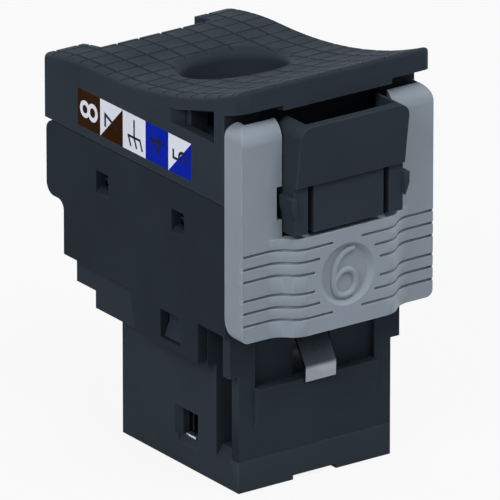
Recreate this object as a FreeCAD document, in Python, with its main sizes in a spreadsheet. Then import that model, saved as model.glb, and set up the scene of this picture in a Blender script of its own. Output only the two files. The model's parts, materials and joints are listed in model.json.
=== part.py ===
import FreeCAD, Part
import math
import os
from types import SimpleNamespace

import Sketcher

# A snap-in data jack that stands on its plug face, in millimetres.
# X runs across the nose, -Y is the latch side, +Y the fixed catch side and +Z the cable side.
# The origin is the middle of the nose on the plug face.

doc = FreeCAD.newDocument("keystone_jack")
sheet = doc.addObject("Spreadsheet::Sheet", "Sizes")

SIZES = {
    # Nose, which passes through the panel's slot
    "nose_width": 14.5,
    "nose_depth": 15.75,
    "nose_height": 9.9,
    "nose_wall": 0.9,
    # Plug socket
    "plug_width": 11.8,
    "plug_height": 6.9,
    "socket_depth": 11.6,
    "socket_front_wall": 2.9,
    "tab_width": 6.2,
    "tab_mouth": 0.8,
    "tab_height": 1.6,
    "tab_catch": 1.6,
    "finger_width": 4.1,
    "finger_wall": 0.8,
    "finger_notch": 0.35,
    "mouth_lip": 1.15,
    # Windows of the nose, where the liner's lugs show
    "nose_window_back": 0.3,
    "nose_window_width": 2.7,
    "nose_window_bottom": 2.3,
    "nose_window_height": 2.5,
    "nose_window_bevel": 0.5,
    # Shoulder band with its two steps at the back
    "band_width": 16.2,
    "band_height": 3.75,
    "low_step_reach": 10.3,
    "low_step_height": 1.45,
    "high_step_reach": 12.9,
    "band_wall": 1.1,
    "board_recess": 1.0,
    "lug_height": 1.4,
    "lug_proud": 0.55,
    # Fixed catch on the back of the nose
    "fixed_catch_width": 9.2,
    "fixed_catch_bottom": 5.2,
    "fixed_catch_top": 8.5,
    "fixed_catch_proud": 0.9,
    "fixed_catch_edge": 0.35,
    # Latch lever, which turns on a heel that lies in the nose's foot
    "lever_wall": 0.9,
    "lever_slot": 2.1,
    "lever_root": 2.6,
    "foot_rise": 0.5,
    "foot_bevel_width": 0.65,
    "foot_bevel_height": 1.0,
    "heel_radius": 0.5,
    "heel_set_back": 0.25,
    "heel_lift": 0.2,
    "heel_width": 12.0,
    "running_clearance": 0.05,
    "lever_clearance": 0.15,
    "shoulder_bottom": 9.77,
    "shoulder_gap": 0.35,
    "catch_width": 11.46,
    "catch_bottom": 4.9,
    "catch_ledge": 8.47,
    "catch_proud": 0.54,
    "recess_width": 11.4,
    "recess_deep": 0.65,
    "recess_shallow": 0.3,
    "backing_width": 12.0,
    "backing_wall": 0.5,
    "backing_drop": 1.2,
    "stem_width": 10.3,
    "shelf_wall": 0.85,
    "head_wall": 1.1,
    "head_side_wall": 0.95,
    "head_back": 10.0,
    "head_front": 12.3,
    "bar_width": 1.3,
    "bar_groove": 0.55,
    "bar_groove_depth": 0.8,
    "bar_height": 4.0,
    "paddle_height": 5.1,
    "paddle_low_proud": 0.3,
    "paddle_high_proud": 1.0,
    "paddle_corner": 1.05,
    "paddle_top_wall": 0.8,
    "ear_proud": 0.4,
    "ear_drop": 0.9,
    "ear_bottom": 1.3,
    "ear_height": 1.9,
    "ear_depth": 1.75,
    # Bright strip
    "strip_width": 2.9,
    "strip_thick": 0.2,
    "strip_side_room": 0.3,
    "strip_top_room": 0.8,
    "strip_foot": 6.0,
    "strip_crest": 13.15,
    "strip_nose_reach": 0.75,
    "strip_nose_height": 9.5,
    "strip_tip_drop": 0.2,
    "strip_tip_reach": 0.72,
    "strip_top_bend": 0.8,
    "strip_nose_bend": 0.45,
    # Rear housing
    "wide_width": 18.0,
    "wide_wall": 1.0,
    "wide_top": 24.35,
    "cheek_reach": 0.725,
    "channel_width": 11.2,
    "channel_depth": 3.9,
    "channel_wall": 0.9,
    "low_back": 13.4,
    "high_back": 15.75,
    "back_step_bottom": 17.3,
    "back_step_hollow": 0.8,
    "back_step_round": 1.0,
    "top_back_round": 0.9,
    "back_core_floor": 1.1,
    "leg_gap": 0.1,
    "leg_bottom": 10.3,
    "leg_back": 3.6,
    "leg_slant": 0.9,
    "leg_window_back": 0.2,
    "leg_window_width": 2.6,
    "leg_window_bottom": 10.9,
    "leg_window_height": 2.4,
    # Snap windows of the rear housing and the cap's snap legs
    "snap_back": 8.05,
    "snap_spacing": 10.25,
    "snap_window_width": 1.7,
    "snap_window_height": 1.5,
    "snap_window_middle": 21.35,
    "snap_window_bevel": 0.45,
    "snap_leg_wall": 0.65,
    "snap_leg_width": 2.4,
    "barb_width": 1.3,
    "barb_proud": 0.4,
    "barb_height": 0.6,
    "snap_clearance": 0.12,
    # Grey front plate
    "plate_width": 18.16,
    "plate_bottom": 13.8,
    "plate_height": 17.75,
    "plate_depth": 2.3,
    "plate_wall": 1.0,
    "plate_flange": 0.9,
    "plate_top_round": 0.95,
    "plate_brow_round": 1.7,
    "plate_top_corner": 1.4,
    "plate_low_corner": 0.6,
    "plate_heel_round": 1.6,
    "bulge": 1.3,
    "bulge_top_width": 7.4,
    "bulge_root_width": 13.4,
    "plate_window_bottom": 21.9,
    "plate_window_width": 10.6,
    "ear_room": 0.25,
    "ear_rise_room": 0.6,
    "head_gap": 0.4,
    "dish_width": 5.15,
    "dish_depth": 0.4,
    "dish_slope": 45.0,
    "dish_height": 18.1,
    "groove_width": 0.25,
    "groove_depth": 0.25,
    "groove_pitch": 1.04,
    "groove_start": 0.78,
    "groove_ring": 6.3,
    "peg_radius": 0.8,
    "peg_boss_radius": 1.25,
    "peg_length": 2.2,
    "peg_spacing": 14.6,
    "peg_low": 15.6,
    "peg_high": 22.6,
    "peg_clearance": 0.03,
    # Circuit board
    "board_thick": 1.0,
    "board_edge_gap": 0.3,
    "contact_hole_radius": 0.33,
    "terminal_hole_radius": 0.42,
    # Plug contacts and their comb
    "contact_pitch": 1.016,
    "contact_width": 0.4,
    "contact_thick": 0.3,
    "contact_set_back": 1.1,
    "contact_bend": 0.9,
    "contact_bend_height": 3.0,
    "contact_lean": 14.0,
    "contact_run": 6.2,
    "contact_tail": 0.4,
    "comb_width": 9.2,
    "comb_top": 12.4,
    "comb_slot": 0.56,
    "comb_web": 0.45,
    "comb_clearance": 0.05,
    # Folded liner of the socket
    "shield_thick": 0.2,
    "shield_clearance": 0.05,
    "shield_bottom": 0.6,
    "shield_depth": 6.4,
    "shield_lug_reach": 0.75,
    "shield_lug_edge": 0.4,
    # Terminals and their block
    "row_spacing": 12.0,
    "terminal_pitch": 3.08,
    "terminal_front": -2.46,
    "block_side_gap": 1.05,
    "block_end_gap": 0.2,
    "block_wall": 0.5,
    "deck_top": 23.0,
    "deck_wall": 1.4,
    "tower_top": 27.2,
    "tower_inner": 4.9,
    "tower_depth": 2.5,
    "wire_slot": 0.9,
    "wire_slot_depth": 3.0,
    "blade_thick": 0.4,
    "blade_width": 1.9,
    "blade_fit": 0.1,
    "blade_tip_drop": 0.3,
    "blade_slot": 0.35,
    "blade_slot_depth": 2.6,
    "blade_mouth": 0.6,
    "blade_mouth_depth": 0.5,
    "neck_width": 1.0,
    "pin_width": 0.5,
    "pin_below_board": 0.5,
    # Wire cap
    "seam": 0.08,
    "cap_cheek_gap": 0.15,
    "cap_back": 15.9,
    "cap_back_top": 29.7,
    "cap_crown": 30.45,
    "cap_crown_place": 9.0,
    "cap_roof": 1.5,
    "cap_wall": 0.9,
    "lip_corner_round": 1.0,
    "cap_recess_depth": 1.6,
    "cap_recess_top": 32.0,
    "cap_front_wall": 0.9,
    "lip_front": 10.9,
    "lip_top": 34.6,
    "lip_bottom": 32.25,
    "lip_root": 31.9,
    "lip_end_rise": 0.45,
    "lip_middle_width": 10.2,
    "hole_width": 8.6,
    "hole_depth": 7.8,
    "hole_place": 2.8,
    "hole_round": 0.9,
    "collar_wall": 0.7,
    "collar_bottom": 27.45,
    "collar_cover": 0.2,
    "back_notch_width": 10.6,
    "back_notch_depth": 2.4,
    "back_notch_bottom": 27.2,
    "side_window_front": -7.1,
    "side_window_back": -2.0,
    "side_window_bottom": 29.2,
    "side_window_low": 30.45,
    "side_window_high": 31.9,
    "side_window_depth": 1.2,
    "side_window_jamb": 0.8,
    "window_rib_wall": 0.8,
    "window_rib_depth": 2.2,
    "pusher_width": 0.6,
    "pusher_bottom": 25.4,
    "pusher_inner": 5.05,
    "pusher_side_room": 0.35,
    # Wiring labels
    "label_thick": 0.12,
    "label_front": -4.05,
    "label_length": 15.4,
    "label_bottom": 25.15,
    "label_height": 3.1,
}

CONTACTS = 8
TOWERS_PER_ROW = 5
GROUND_TOWER = 2
GROOVES_PER_SIDE = 3
TOUCH = 1e-6


class Size:
    """A length that carries its number and the sheet expression that gives it."""

    def __init__(self, number, text):
        self.number = number
        self.text = text

    def __neg__(self):
        return Size(-self.number, f"(-{self.text})")

    def __add__(self, other):
        other = as_size(other)
        return Size(self.number + other.number, f"({self.text} + {other.text})")

    def __radd__(self, other):
        return as_size(other) + self

    def __sub__(self, other):
        other = as_size(other)
        return Size(self.number - other.number, f"({self.text} - {other.text})")

    def __rsub__(self, other):
        return as_size(other) - self

    def __mul__(self, other):
        other = as_size(other)
        return Size(self.number * other.number, f"({self.text} * {other.text})")

    def __rmul__(self, other):
        return self * other

    def __truediv__(self, other):
        other = as_size(other)
        return Size(self.number / other.number, f"({self.text} / {other.text})")


def as_size(value):
    return value if isinstance(value, Size) else Size(float(value), f"({float(value)})")


def root(value):
    return Size(math.sqrt(value.number), f"sqrt({value.text})")


def sine(angle):
    return Size(math.sin(math.radians(angle.number)), f"sin({angle.text})")


def cosine(angle):
    return Size(math.cos(math.radians(angle.number)), f"cos({angle.text})")


def fill_sheet():
    for row, (name, number) in enumerate(SIZES.items(), start=1):
        sheet.set(f"A{row}", name)
        sheet.set(f"B{row}", str(number))
        sheet.setAlias(f"B{row}", name)
    doc.recompute()
    return SimpleNamespace(**{name: Size(float(sheet.get(name)), f"Sizes.{name}") for name in SIZES})


s = fill_sheet()

# Places that several pieces share
nose_side = s.nose_width / 2
nose_front = -(s.nose_depth / 2)
nose_back = s.nose_depth / 2
lever_back = nose_front + s.lever_wall
socket_front = lever_back + s.lever_slot
cavity_front = socket_front + s.socket_front_wall
cavity_back = cavity_front + s.plug_height
cavity_side = s.plug_width / 2 + s.shield_thick + s.shield_clearance
band_side = s.band_width / 2
band_bottom = s.nose_height
band_top = band_bottom + s.band_height
board_top = band_top + s.board_thick
heel_y = lever_back + s.heel_set_back
heel_z = s.lever_root + s.heel_lift
shoulder_top = band_top - s.shoulder_gap
wide_side = s.wide_width / 2
inner_side = wide_side - s.wide_wall
cheek_front = nose_front - s.cheek_reach
channel_back = cheek_front + s.channel_depth
inner_front = channel_back + s.channel_wall
inner_back = s.low_back - s.wide_wall
plate_front = cheek_front - s.plate_depth
bulge_front = plate_front - s.bulge
plate_top = s.plate_bottom + s.plate_height
head_bottom = s.plate_window_bottom + s.head_gap
paddle_bottom = head_bottom + s.bar_height
head_top = paddle_bottom + s.paddle_height
head_side = s.stem_width / 2
ear_bottom = head_bottom + s.ear_bottom
contact_y = cavity_back + s.contact_set_back
row_x = s.row_spacing / 2
block_side = inner_side - s.block_side_gap
deck_bottom = s.deck_top - s.deck_wall
snap_places = (s.snap_back, s.snap_back - s.snap_spacing)
snap_window_bottom = s.snap_window_middle - s.snap_window_height / 2
cap_bottom = s.wide_top + s.seam


def origin_feature(body, role):
    return next(feature for feature in body.Origin.OriginFeatures if feature.Role == role)


def new_body(label):
    body = doc.addObject("PartDesign::Body", label)
    body.Label = label
    return body


def rectangle(low_x, high_x, low_y, high_y):
    return [(low_x, low_y), (high_x, low_y), (high_x, high_y), (low_x, high_y)]


def circle(x, y, radius):
    return {"middle": (x, y), "radius": radius}


def octagon(x, y, radius):
    """An eight-sided outline round a circle of the given radius."""
    near = radius * math.tan(math.pi / 8)
    corners = [(radius, -near), (radius, near), (near, radius), (-near, radius)]
    corners += [(-across, -along) for across, along in corners]
    return [(x + across, y + along) for across, along in corners]


def corner_cut(x, y, toward_x, toward_y, radius):
    """What rounding takes off an outside corner whose material lies toward_x, toward_y."""
    return [
        (x, y),
        (x + toward_x * radius, y, -toward_x * toward_y * radius),
        (x, y + toward_y * radius),
    ]


def mirror_loop(loop):
    """The loop on the other side of the sketch's upright axis."""
    if isinstance(loop, dict):
        x, y = loop["middle"]
        return circle(-as_size(x), y, loop["radius"])
    return [(-as_size(x), y, *(-bend for bend in bends)) for x, y, *bends in loop]


def both_sides(*loops):
    return [*loops, *(mirror_loop(loop) for loop in loops)]


def plain_point(corner):
    return FreeCAD.Vector(as_size(corner[0]).number, as_size(corner[1]).number, 0)


def arc_between(start, stop, bend):
    """The short arc from start to stop: a positive radius turns left on the way, a negative one right."""
    radius = abs(bend)
    chord = stop - start
    left = FreeCAD.Vector(-chord.y, chord.x, 0).normalize()
    height = math.sqrt(max(radius ** 2 - chord.Length ** 2 / 4, 0))
    middle = (start + stop) / 2 + left * math.copysign(height, bend)
    first, last = (start, stop) if bend > 0 else (stop, start)
    angles = [math.atan2(point.y - middle.y, point.x - middle.x) for point in (first, last)]
    return Part.ArcOfCircle(Part.Circle(middle, FreeCAD.Vector(0, 0, 1), radius), *angles)


def bind(sketch, index, value):
    if isinstance(value, Size):
        sketch.setExpression(f"Constraints[{index}]", value.text)


def add_circle(sketch, loop):
    (x, y), radius = loop["middle"], loop["radius"]
    middle = plain_point((x, y))
    edge = sketch.addGeometry(Part.Circle(middle, FreeCAD.Vector(0, 0, 1), radius.number))
    for kind, value in (("DistanceX", x), ("DistanceY", y)):
        bind(sketch, sketch.addConstraint(
            Sketcher.Constraint(kind, -1, 1, edge, 3, as_size(value).number)), value)
    bind(sketch, sketch.addConstraint(Sketcher.Constraint("Radius", edge, radius.number)), radius)


def add_corners(sketch, corners):
    """A closed outline: each corner is x, y and, where an arc leads to the next one, its radius."""
    first_edge = sketch.GeometryCount
    edges, ends = [], []
    for here, after in zip(corners, corners[1:] + corners[:1]):
        start, stop = plain_point(here), plain_point(after)
        bend = as_size(here[2]).number if len(here) > 2 else None
        edges.append(Part.LineSegment(start, stop) if bend is None else arc_between(start, stop, bend))
        ends.append((2, 1) if bend is not None and bend < 0 else (1, 2))
    sketch.addGeometry(edges, False)
    count = len(corners)
    constraints, values = [], []
    for i in range(count):
        j = (i + 1) % count
        constraints.append(Sketcher.Constraint(
            "Coincident", first_edge + i, ends[i][1], first_edge + j, ends[j][0]))
        values.append(None)
    for i, (x, y, *bends) in enumerate(corners):
        for kind, value in (("DistanceX", x), ("DistanceY", y)):
            constraints.append(Sketcher.Constraint(
                kind, -1, 1, first_edge + i, ends[i][0], as_size(value).number))
            values.append(value)
        for bend in bends:
            size = bend if bend.number > 0 else -bend
            constraints.append(Sketcher.Constraint("Radius", first_edge + i, size.number))
            values.append(size)
    first_constraint = sketch.ConstraintCount
    sketch.addConstraint(constraints)
    for i, value in enumerate(values):
        bind(sketch, first_constraint + i, value)


def outline(body, name, role, shift, loops):
    sketch = body.newObject("Sketcher::SketchObject", name)
    sketch.AttachmentSupport = (origin_feature(body, role), [""])
    sketch.MapMode = "FlatFace"
    sketch.setExpression("AttachmentOffset.Base.z", as_size(shift).text)
    for loop in loops:
        if isinstance(loop, dict):
            add_circle(sketch, loop)
        else:
            add_corners(sketch, loop)
    return sketch


def prism(body, name, axis, low, high, *loops, cut=False):
    """The loops carried along one axis from low to high, added to the body or cut from it.

    Along X a loop is in Y and Z, along Y in X and Z, along Z in X and Y.
    """
    low, high = as_size(low), as_size(high)
    planes = {"X": ("YZ_Plane", low), "Y": ("XZ_Plane", -high), "Z": ("XY_Plane", low)}
    role, shift = planes[axis]
    feature_type = "PartDesign::Pocket" if cut else "PartDesign::Pad"
    sketch = outline(body, f"{body.Name}_{name}_outline", role, shift, loops)
    feature = body.newObject(feature_type, f"{body.Name}_{name}")
    feature.Profile = sketch
    feature.setExpression("Length", (high - low).text)
    feature.Reversed = cut
    return feature


def cut_prism(body, name, axis, low, high, *loops):
    return prism(body, name, axis, low, high, *loops, cut=True)


def mirror_across(body, name, *features):
    mirror = body.newObject("PartDesign::Mirrored", f"{body.Name}_{name}")
    mirror.Originals = list(features)
    mirror.MirrorPlane = (origin_feature(body, "YZ_Plane"), [""])
    body.Tip = mirror
    return mirror


def repeat(body, name, role, pitch, count, *features):
    pattern = body.newObject("PartDesign::LinearPattern", f"{body.Name}_{name}")
    pattern.Originals = list(features)
    pattern.Direction = (origin_feature(body, role), [""])
    pattern.Mode = "Spacing"
    pattern.setExpression("Offset", pitch.text)
    pattern.Occurrences = count
    body.Tip = pattern
    return pattern


def rounded(body, name, radius, chosen):
    """Rounds the edges of the body so far that the test picks."""
    doc.recompute()
    base = body.Tip
    edges = [f"Edge{number}" for number, edge in enumerate(base.Shape.Edges, start=1) if chosen(edge)]
    fillet = body.newObject("PartDesign::Fillet", f"{body.Name}_{name}")
    fillet.Base = (base, edges)
    fillet.setExpression("Radius", radius.text)
    return fillet


def front_housing():
    body = new_body("front_housing")
    foot_top = s.lever_root + s.foot_rise
    foot_wall = lever_back + s.lever_clearance
    prism(body, "socket_block", "Z", 0, band_bottom,
          rectangle(-nose_side, nose_side, socket_front, nose_back))
    prism(body, "foot", "X", -nose_side, nose_side, [
        (nose_front, 0), (socket_front, 0), (socket_front, foot_top),
        (foot_wall, foot_top), (foot_wall, s.lever_root), (nose_front, s.lever_root)])
    low_step_top = band_bottom + s.low_step_height
    prism(body, "band", "X", -band_side, band_side, [
        (socket_front, band_bottom), (s.low_step_reach, band_bottom), (s.low_step_reach, low_step_top),
        (s.high_step_reach, low_step_top), (s.high_step_reach, band_top), (socket_front, band_top)])
    prism(body, "fixed_catch", "X", -s.fixed_catch_width / 2, s.fixed_catch_width / 2, [
        (nose_back, s.fixed_catch_bottom),
        (nose_back + s.fixed_catch_proud, s.fixed_catch_top - s.fixed_catch_edge),
        (nose_back + s.fixed_catch_proud, s.fixed_catch_top),
        (nose_back, s.fixed_catch_top)])

    cut_plug_socket(body)

    recess_side = band_side - s.band_wall
    cut_prism(body, "board_recess", "Z", band_top - s.board_recess, band_top,
              rectangle(-recess_side, recess_side,
                        socket_front + s.band_wall, s.high_step_reach - s.band_wall))
    cut_prism(body, "heel_groove", "X", -s.heel_width / 2 - s.running_clearance,
              s.heel_width / 2 + s.running_clearance,
              circle(heel_y, heel_z, s.heel_radius + s.running_clearance))
    cut_prism(body, "slot_floor_bevel", "Y", foot_wall, socket_front, *both_sides([
        (nose_side, foot_top - s.foot_bevel_height), (nose_side, foot_top),
        (nose_side - s.foot_bevel_width, foot_top)]))

    # Wedge lugs that the rear housing's legs snap over
    lug_front = s.leg_window_back - s.leg_window_width + s.snap_clearance
    lug_back = s.leg_window_back - s.snap_clearance
    lug_bottom = s.leg_window_bottom + s.snap_clearance
    prism(body, "lugs", "Y", lug_front, lug_back, *both_sides([
        (band_side, lug_bottom), (band_side + s.lug_proud, lug_bottom),
        (band_side, lug_bottom + s.lug_height)]))
    return body


def cut_plug_socket(body):
    """The stepped hollow for the plug, its tab, the liner and the contacts."""
    tab_side = s.tab_width / 2
    finger_side = s.finger_width / 2
    room_side = s.comb_width / 2 + s.comb_clearance
    cut_prism(body, "plug_cavity", "Z", 0, s.socket_depth,
              rectangle(-cavity_side, cavity_side, cavity_front, cavity_back))
    cut_prism(body, "tab_mouth", "Z", 0, s.socket_depth,
              rectangle(-tab_side, tab_side, cavity_front - s.tab_mouth, cavity_back))
    cut_prism(body, "tab_room", "Z", s.tab_catch, s.socket_depth,
              rectangle(-tab_side, tab_side, cavity_front - s.tab_height, cavity_back))
    cut_prism(body, "finger_room", "Z", 0, s.socket_depth,
              rectangle(-finger_side, finger_side, socket_front + s.finger_wall, cavity_back))
    cut_prism(body, "finger_notch", "Z", 0, s.finger_notch,
              rectangle(-finger_side, finger_side, nose_front, cavity_front))
    cut_prism(body, "contact_room", "Z", s.mouth_lip, band_top,
              rectangle(-room_side, room_side, cavity_back, nose_back - s.nose_wall))
    window_front = s.nose_window_back - s.nose_window_width
    window_top = s.nose_window_bottom + s.nose_window_height
    window = cut_prism(body, "window", "X", cavity_side, nose_side,
                       rectangle(window_front, s.nose_window_back, s.nose_window_bottom, window_top))
    sill = cut_prism(body, "window_sill", "Y", window_front, s.nose_window_back, [
        (nose_side, s.nose_window_bottom), (nose_side - s.nose_window_bevel, s.nose_window_bottom),
        (nose_side, s.nose_window_bottom - s.nose_window_bevel)])
    jamb = cut_prism(body, "window_jamb", "Z", s.nose_window_bottom, window_top, [
        (nose_side, s.nose_window_back), (nose_side - s.nose_window_bevel, s.nose_window_back),
        (nose_side, s.nose_window_back + s.nose_window_bevel)])
    mirror_across(body, "windows", window, sill, jamb)


def latch_lever():
    body = new_body("latch_lever")
    recess_side = s.recess_width / 2
    shelf_top = head_bottom + s.shelf_wall
    half_wall = [
        (nose_side, s.lever_root), (nose_side, s.shoulder_bottom), (band_side, s.shoulder_bottom),
        (band_side, shoulder_top), (head_side, shoulder_top), (head_side, shelf_top)]
    other_half = [(-x, z) for x, z in reversed(half_wall)]
    prism(body, "wall", "Y", nose_front, lever_back, half_wall + other_half)
    prism(body, "backing", "Y", lever_back, lever_back + s.backing_wall,
          rectangle(-s.backing_width / 2, s.backing_width / 2,
                    s.catch_ledge - s.backing_drop, shoulder_top))
    prism(body, "catch", "X", -s.catch_width / 2, s.catch_width / 2, [
        (nose_front, s.catch_bottom), (nose_front, s.catch_ledge),
        (nose_front - s.catch_proud, s.catch_ledge)])
    prism(body, "heel", "X", -s.heel_width / 2, s.heel_width / 2, circle(heel_y, heel_z, s.heel_radius))
    cut_prism(body, "recess", "X", -recess_side, recess_side, [
        (nose_front, s.catch_ledge), (nose_front + s.recess_deep, s.catch_ledge),
        (nose_front + s.recess_shallow, shoulder_top), (nose_front, shoulder_top)])
    strip_side = s.strip_width / 2 + s.strip_side_room
    cut_prism(body, "strip_slot", "Y", nose_front - s.catch_proud, lever_back + s.backing_wall,
              rectangle(-strip_side, strip_side, s.catch_ledge, s.strip_crest + s.strip_top_room))
    add_lever_head(body, shelf_top)
    return body


def add_lever_head(body, shelf_top):
    """The tray that stands out through the plate's window: bars below, the finger paddle above."""
    head_front = -s.head_front
    head_back = -s.head_back
    prism(body, "head", "X", -head_side, head_side, [
        (head_front, head_bottom), (lever_back, head_bottom), (lever_back, shelf_top),
        (head_back, shelf_top), (head_back, head_top), (head_front - s.paddle_high_proud, head_top),
        (head_front - s.paddle_low_proud, paddle_bottom), (head_front, paddle_bottom)])
    hollow_side = head_side - s.head_side_wall
    hollow_front = head_front + s.head_wall
    cut_prism(body, "head_hollow", "X", -hollow_side, hollow_side, [
        (hollow_front, shelf_top), (head_back, shelf_top), (head_back, head_top),
        (head_front - s.paddle_high_proud + s.paddle_top_wall, head_top), (hollow_front, paddle_bottom)])
    groove_outer = head_side - s.bar_width
    cut_prism(body, "bar_grooves", "Y", head_front, head_front + s.bar_groove_depth, *both_sides(
        rectangle(groove_outer - s.bar_groove, groove_outer, head_bottom, paddle_bottom)))
    ear_top = ear_bottom + s.ear_height
    prism(body, "ears", "Y", plate_front - s.ear_depth, plate_front, *both_sides([
        (head_side, ear_bottom), (head_side + s.ear_proud, ear_top - s.ear_drop),
        (head_side + s.ear_proud, ear_top), (head_side, ear_top)]))
    cut_prism(body, "paddle_corners", "Y", head_front - s.paddle_high_proud, head_back, *both_sides(
        corner_cut(head_side, head_top, -1, -1, s.paddle_corner)))


def wave(side, shift):
    """One side of the plate's front, from its flank to the top of the bulge, moved back by shift."""
    root_x, top_x = s.bulge_root_width / 2, s.bulge_top_width / 2
    half_run, half_rise = (root_x - top_x) / 2, s.bulge / 2
    bend = (half_run * half_run + half_rise * half_rise) / (2 * half_rise)
    return [
        (side * root_x, plate_front + shift, side * bend),
        (side * (root_x + top_x) / 2, plate_front - half_rise + shift, -side * bend),
        (side * top_x, bulge_front + shift)]


def turned_back(corners):
    """The same run of corners walked from its far end."""
    points = [(corner[0], corner[1]) for corner in reversed(corners)]
    bends = [[-corner[2]] for corner in reversed(corners[:-1])]
    return [(*point, *bend) for point, bend in zip(points, bends + [[]])]


def front_plate():
    body = new_body("front_plate")
    side = s.plate_width / 2
    inner = side - s.plate_flange
    wall_back = plate_front + s.plate_wall
    window_side = s.plate_window_width / 2
    prism(body, "wave", "Z", s.plate_bottom, s.plate_window_bottom, [
        (-side, cheek_front), (-side, plate_front), *wave(-1, 0), *turned_back(wave(1, 0)),
        (side, plate_front), (side, cheek_front), (inner, cheek_front), (inner, wall_back),
        *wave(1, s.plate_wall), *turned_back(wave(-1, s.plate_wall)),
        (-inner, wall_back), (-inner, cheek_front)])
    prism(body, "arms", "Z", s.plate_window_bottom, plate_top, *both_sides([
        (side, cheek_front), (side, plate_front), (window_side, plate_front),
        (window_side, wall_back), (inner, wall_back), (inner, cheek_front)]))
    cut_prism(body, "ear_notches", "Y", plate_front, wall_back, *both_sides(rectangle(
        window_side, head_side + s.ear_proud + s.ear_room,
        ear_bottom - s.ear_room, ear_bottom + s.ear_height + s.ear_rise_room)))
    dish = cut_prism(body, "dish", "Y", bulge_front, bulge_front + s.dish_depth,
                     circle(as_size(0), s.dish_height, s.dish_width / 2 - s.dish_depth))
    dish.setExpression("TaperAngle", s.dish_slope.text)
    cut_grip_grooves(body, side)
    peg_places = [(x, z) for x in (-s.peg_spacing / 2, s.peg_spacing / 2) for z in (s.peg_low, s.peg_high)]
    prism(body, "bosses", "Y", wall_back, cheek_front,
          *(circle(x, z, s.peg_boss_radius) for x, z in peg_places))
    prism(body, "pegs", "Y", cheek_front, cheek_front + s.peg_length,
          *(circle(x, z, s.peg_radius) for x, z in peg_places))
    cut_prism(body, "side_rounds", "X", -side, side,
              corner_cut(cheek_front, s.plate_bottom, -1, 1, s.plate_heel_round),
              corner_cut(cheek_front, plate_top, -1, -1, s.plate_top_round),
              corner_cut(plate_front, plate_top, 1, -1, s.plate_brow_round))
    cut_prism(body, "front_rounds", "Y", plate_front, cheek_front, *both_sides(
        corner_cut(side, plate_top, -1, -1, s.plate_top_corner),
        corner_cut(side, s.plate_bottom, -1, 1, s.plate_low_corner)))
    return body


def cut_grip_grooves(body, side):
    """Level grooves that follow the wave and stop at a ring round the dish."""
    ring = s.groove_ring / 2
    for level in range(GROOVES_PER_SIDE):
        reach = s.groove_start + level * s.groove_pitch
        stop = root(ring * ring - reach * reach)
        loop = [
            (-side, plate_front), *wave(-1, 0), (-stop, bulge_front),
            (-stop, bulge_front + s.groove_depth), *turned_back(wave(-1, s.groove_depth)),
            (-side, plate_front + s.groove_depth)]
        for name, middle in (("above", s.dish_height + reach), ("below", s.dish_height - reach)):
            cut_prism(body, f"groove_{name}_{level + 1}", "Z",
                      middle - s.groove_width / 2, middle + s.groove_width / 2, *both_sides(loop))


def rear_housing():
    body = new_body("rear_housing")
    ledge = s.back_step_bottom + s.back_step_hollow
    prism(body, "shell", "X", -wide_side, wide_side, [
        (cheek_front, band_top), (s.low_back, band_top),
        (s.low_back, s.back_step_bottom, -s.back_step_hollow),
        (s.low_back + s.back_step_hollow, ledge),
        (s.high_back - s.back_step_round, ledge, s.back_step_round),
        (s.high_back, ledge + s.back_step_round),
        (s.high_back, s.wide_top), (cheek_front, s.wide_top)])
    legs = prism(body, "leg", "X", band_side + s.leg_gap, wide_side, [
        (socket_front, s.leg_bottom), (s.leg_back, s.leg_bottom),
        (s.leg_back + s.leg_slant, band_top), (socket_front, band_top)])
    mirror_across(body, "legs", legs)
    cut_prism(body, "channel", "Z", band_top, s.wide_top, rectangle(
        -s.channel_width / 2, s.channel_width / 2, cheek_front, channel_back))
    cut_prism(body, "hollow", "Z", band_top, s.wide_top,
              rectangle(-inner_side, inner_side, inner_front, inner_back))
    cut_prism(body, "back_core", "Z", ledge + s.back_step_round + s.back_core_floor, s.wide_top,
              rectangle(-inner_side, inner_side, inner_back, s.high_back - s.wide_wall))
    cut_prism(body, "top_back_edge", "X", -wide_side, wide_side,
              corner_cut(s.high_back, s.wide_top, -1, -1, s.top_back_round))
    cut_prism(body, "leg_windows", "X", -wide_side, wide_side, rectangle(
        s.leg_window_back - s.leg_window_width, s.leg_window_back,
        s.leg_window_bottom, s.leg_window_bottom + s.leg_window_height))
    cut_snap_windows(body)
    peg_places = [(x, z) for x in (-s.peg_spacing / 2, s.peg_spacing / 2) for z in (s.peg_low, s.peg_high)]
    cut_prism(body, "peg_holes", "Y", cheek_front, cheek_front + s.peg_length + s.snap_clearance,
              *(circle(x, z, s.peg_radius + s.peg_clearance) for x, z in peg_places))
    return body


def cut_snap_windows(body):
    """Openings for the cap's barbs, each with a bevelled sill and a groove up to the rim."""
    half = s.snap_window_width / 2
    window_top = snap_window_bottom + s.snap_window_height
    groove_half = s.barb_width / 2 + s.snap_clearance
    groove_side = inner_side + s.barb_proud + s.snap_clearance
    cut_prism(body, "snap_windows", "X", -wide_side, wide_side, *(
        rectangle(place - half, place + half, snap_window_bottom, window_top) for place in snap_places))
    for number, place in enumerate(snap_places, start=1):
        cut_prism(body, f"sill_{number}", "Y", place - half, place + half, *both_sides([
            (wide_side, snap_window_bottom), (wide_side - s.snap_window_bevel, snap_window_bottom),
            (wide_side, snap_window_bottom - s.snap_window_bevel)]))
    grooves = [rectangle(inner_side, groove_side, place - groove_half, place + groove_half)
               for place in snap_places]
    cut_prism(body, "barb_grooves", "Z", snap_window_bottom, s.wide_top, *both_sides(*grooves))


def tower_place(index):
    return s.terminal_front + index * s.terminal_pitch


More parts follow.
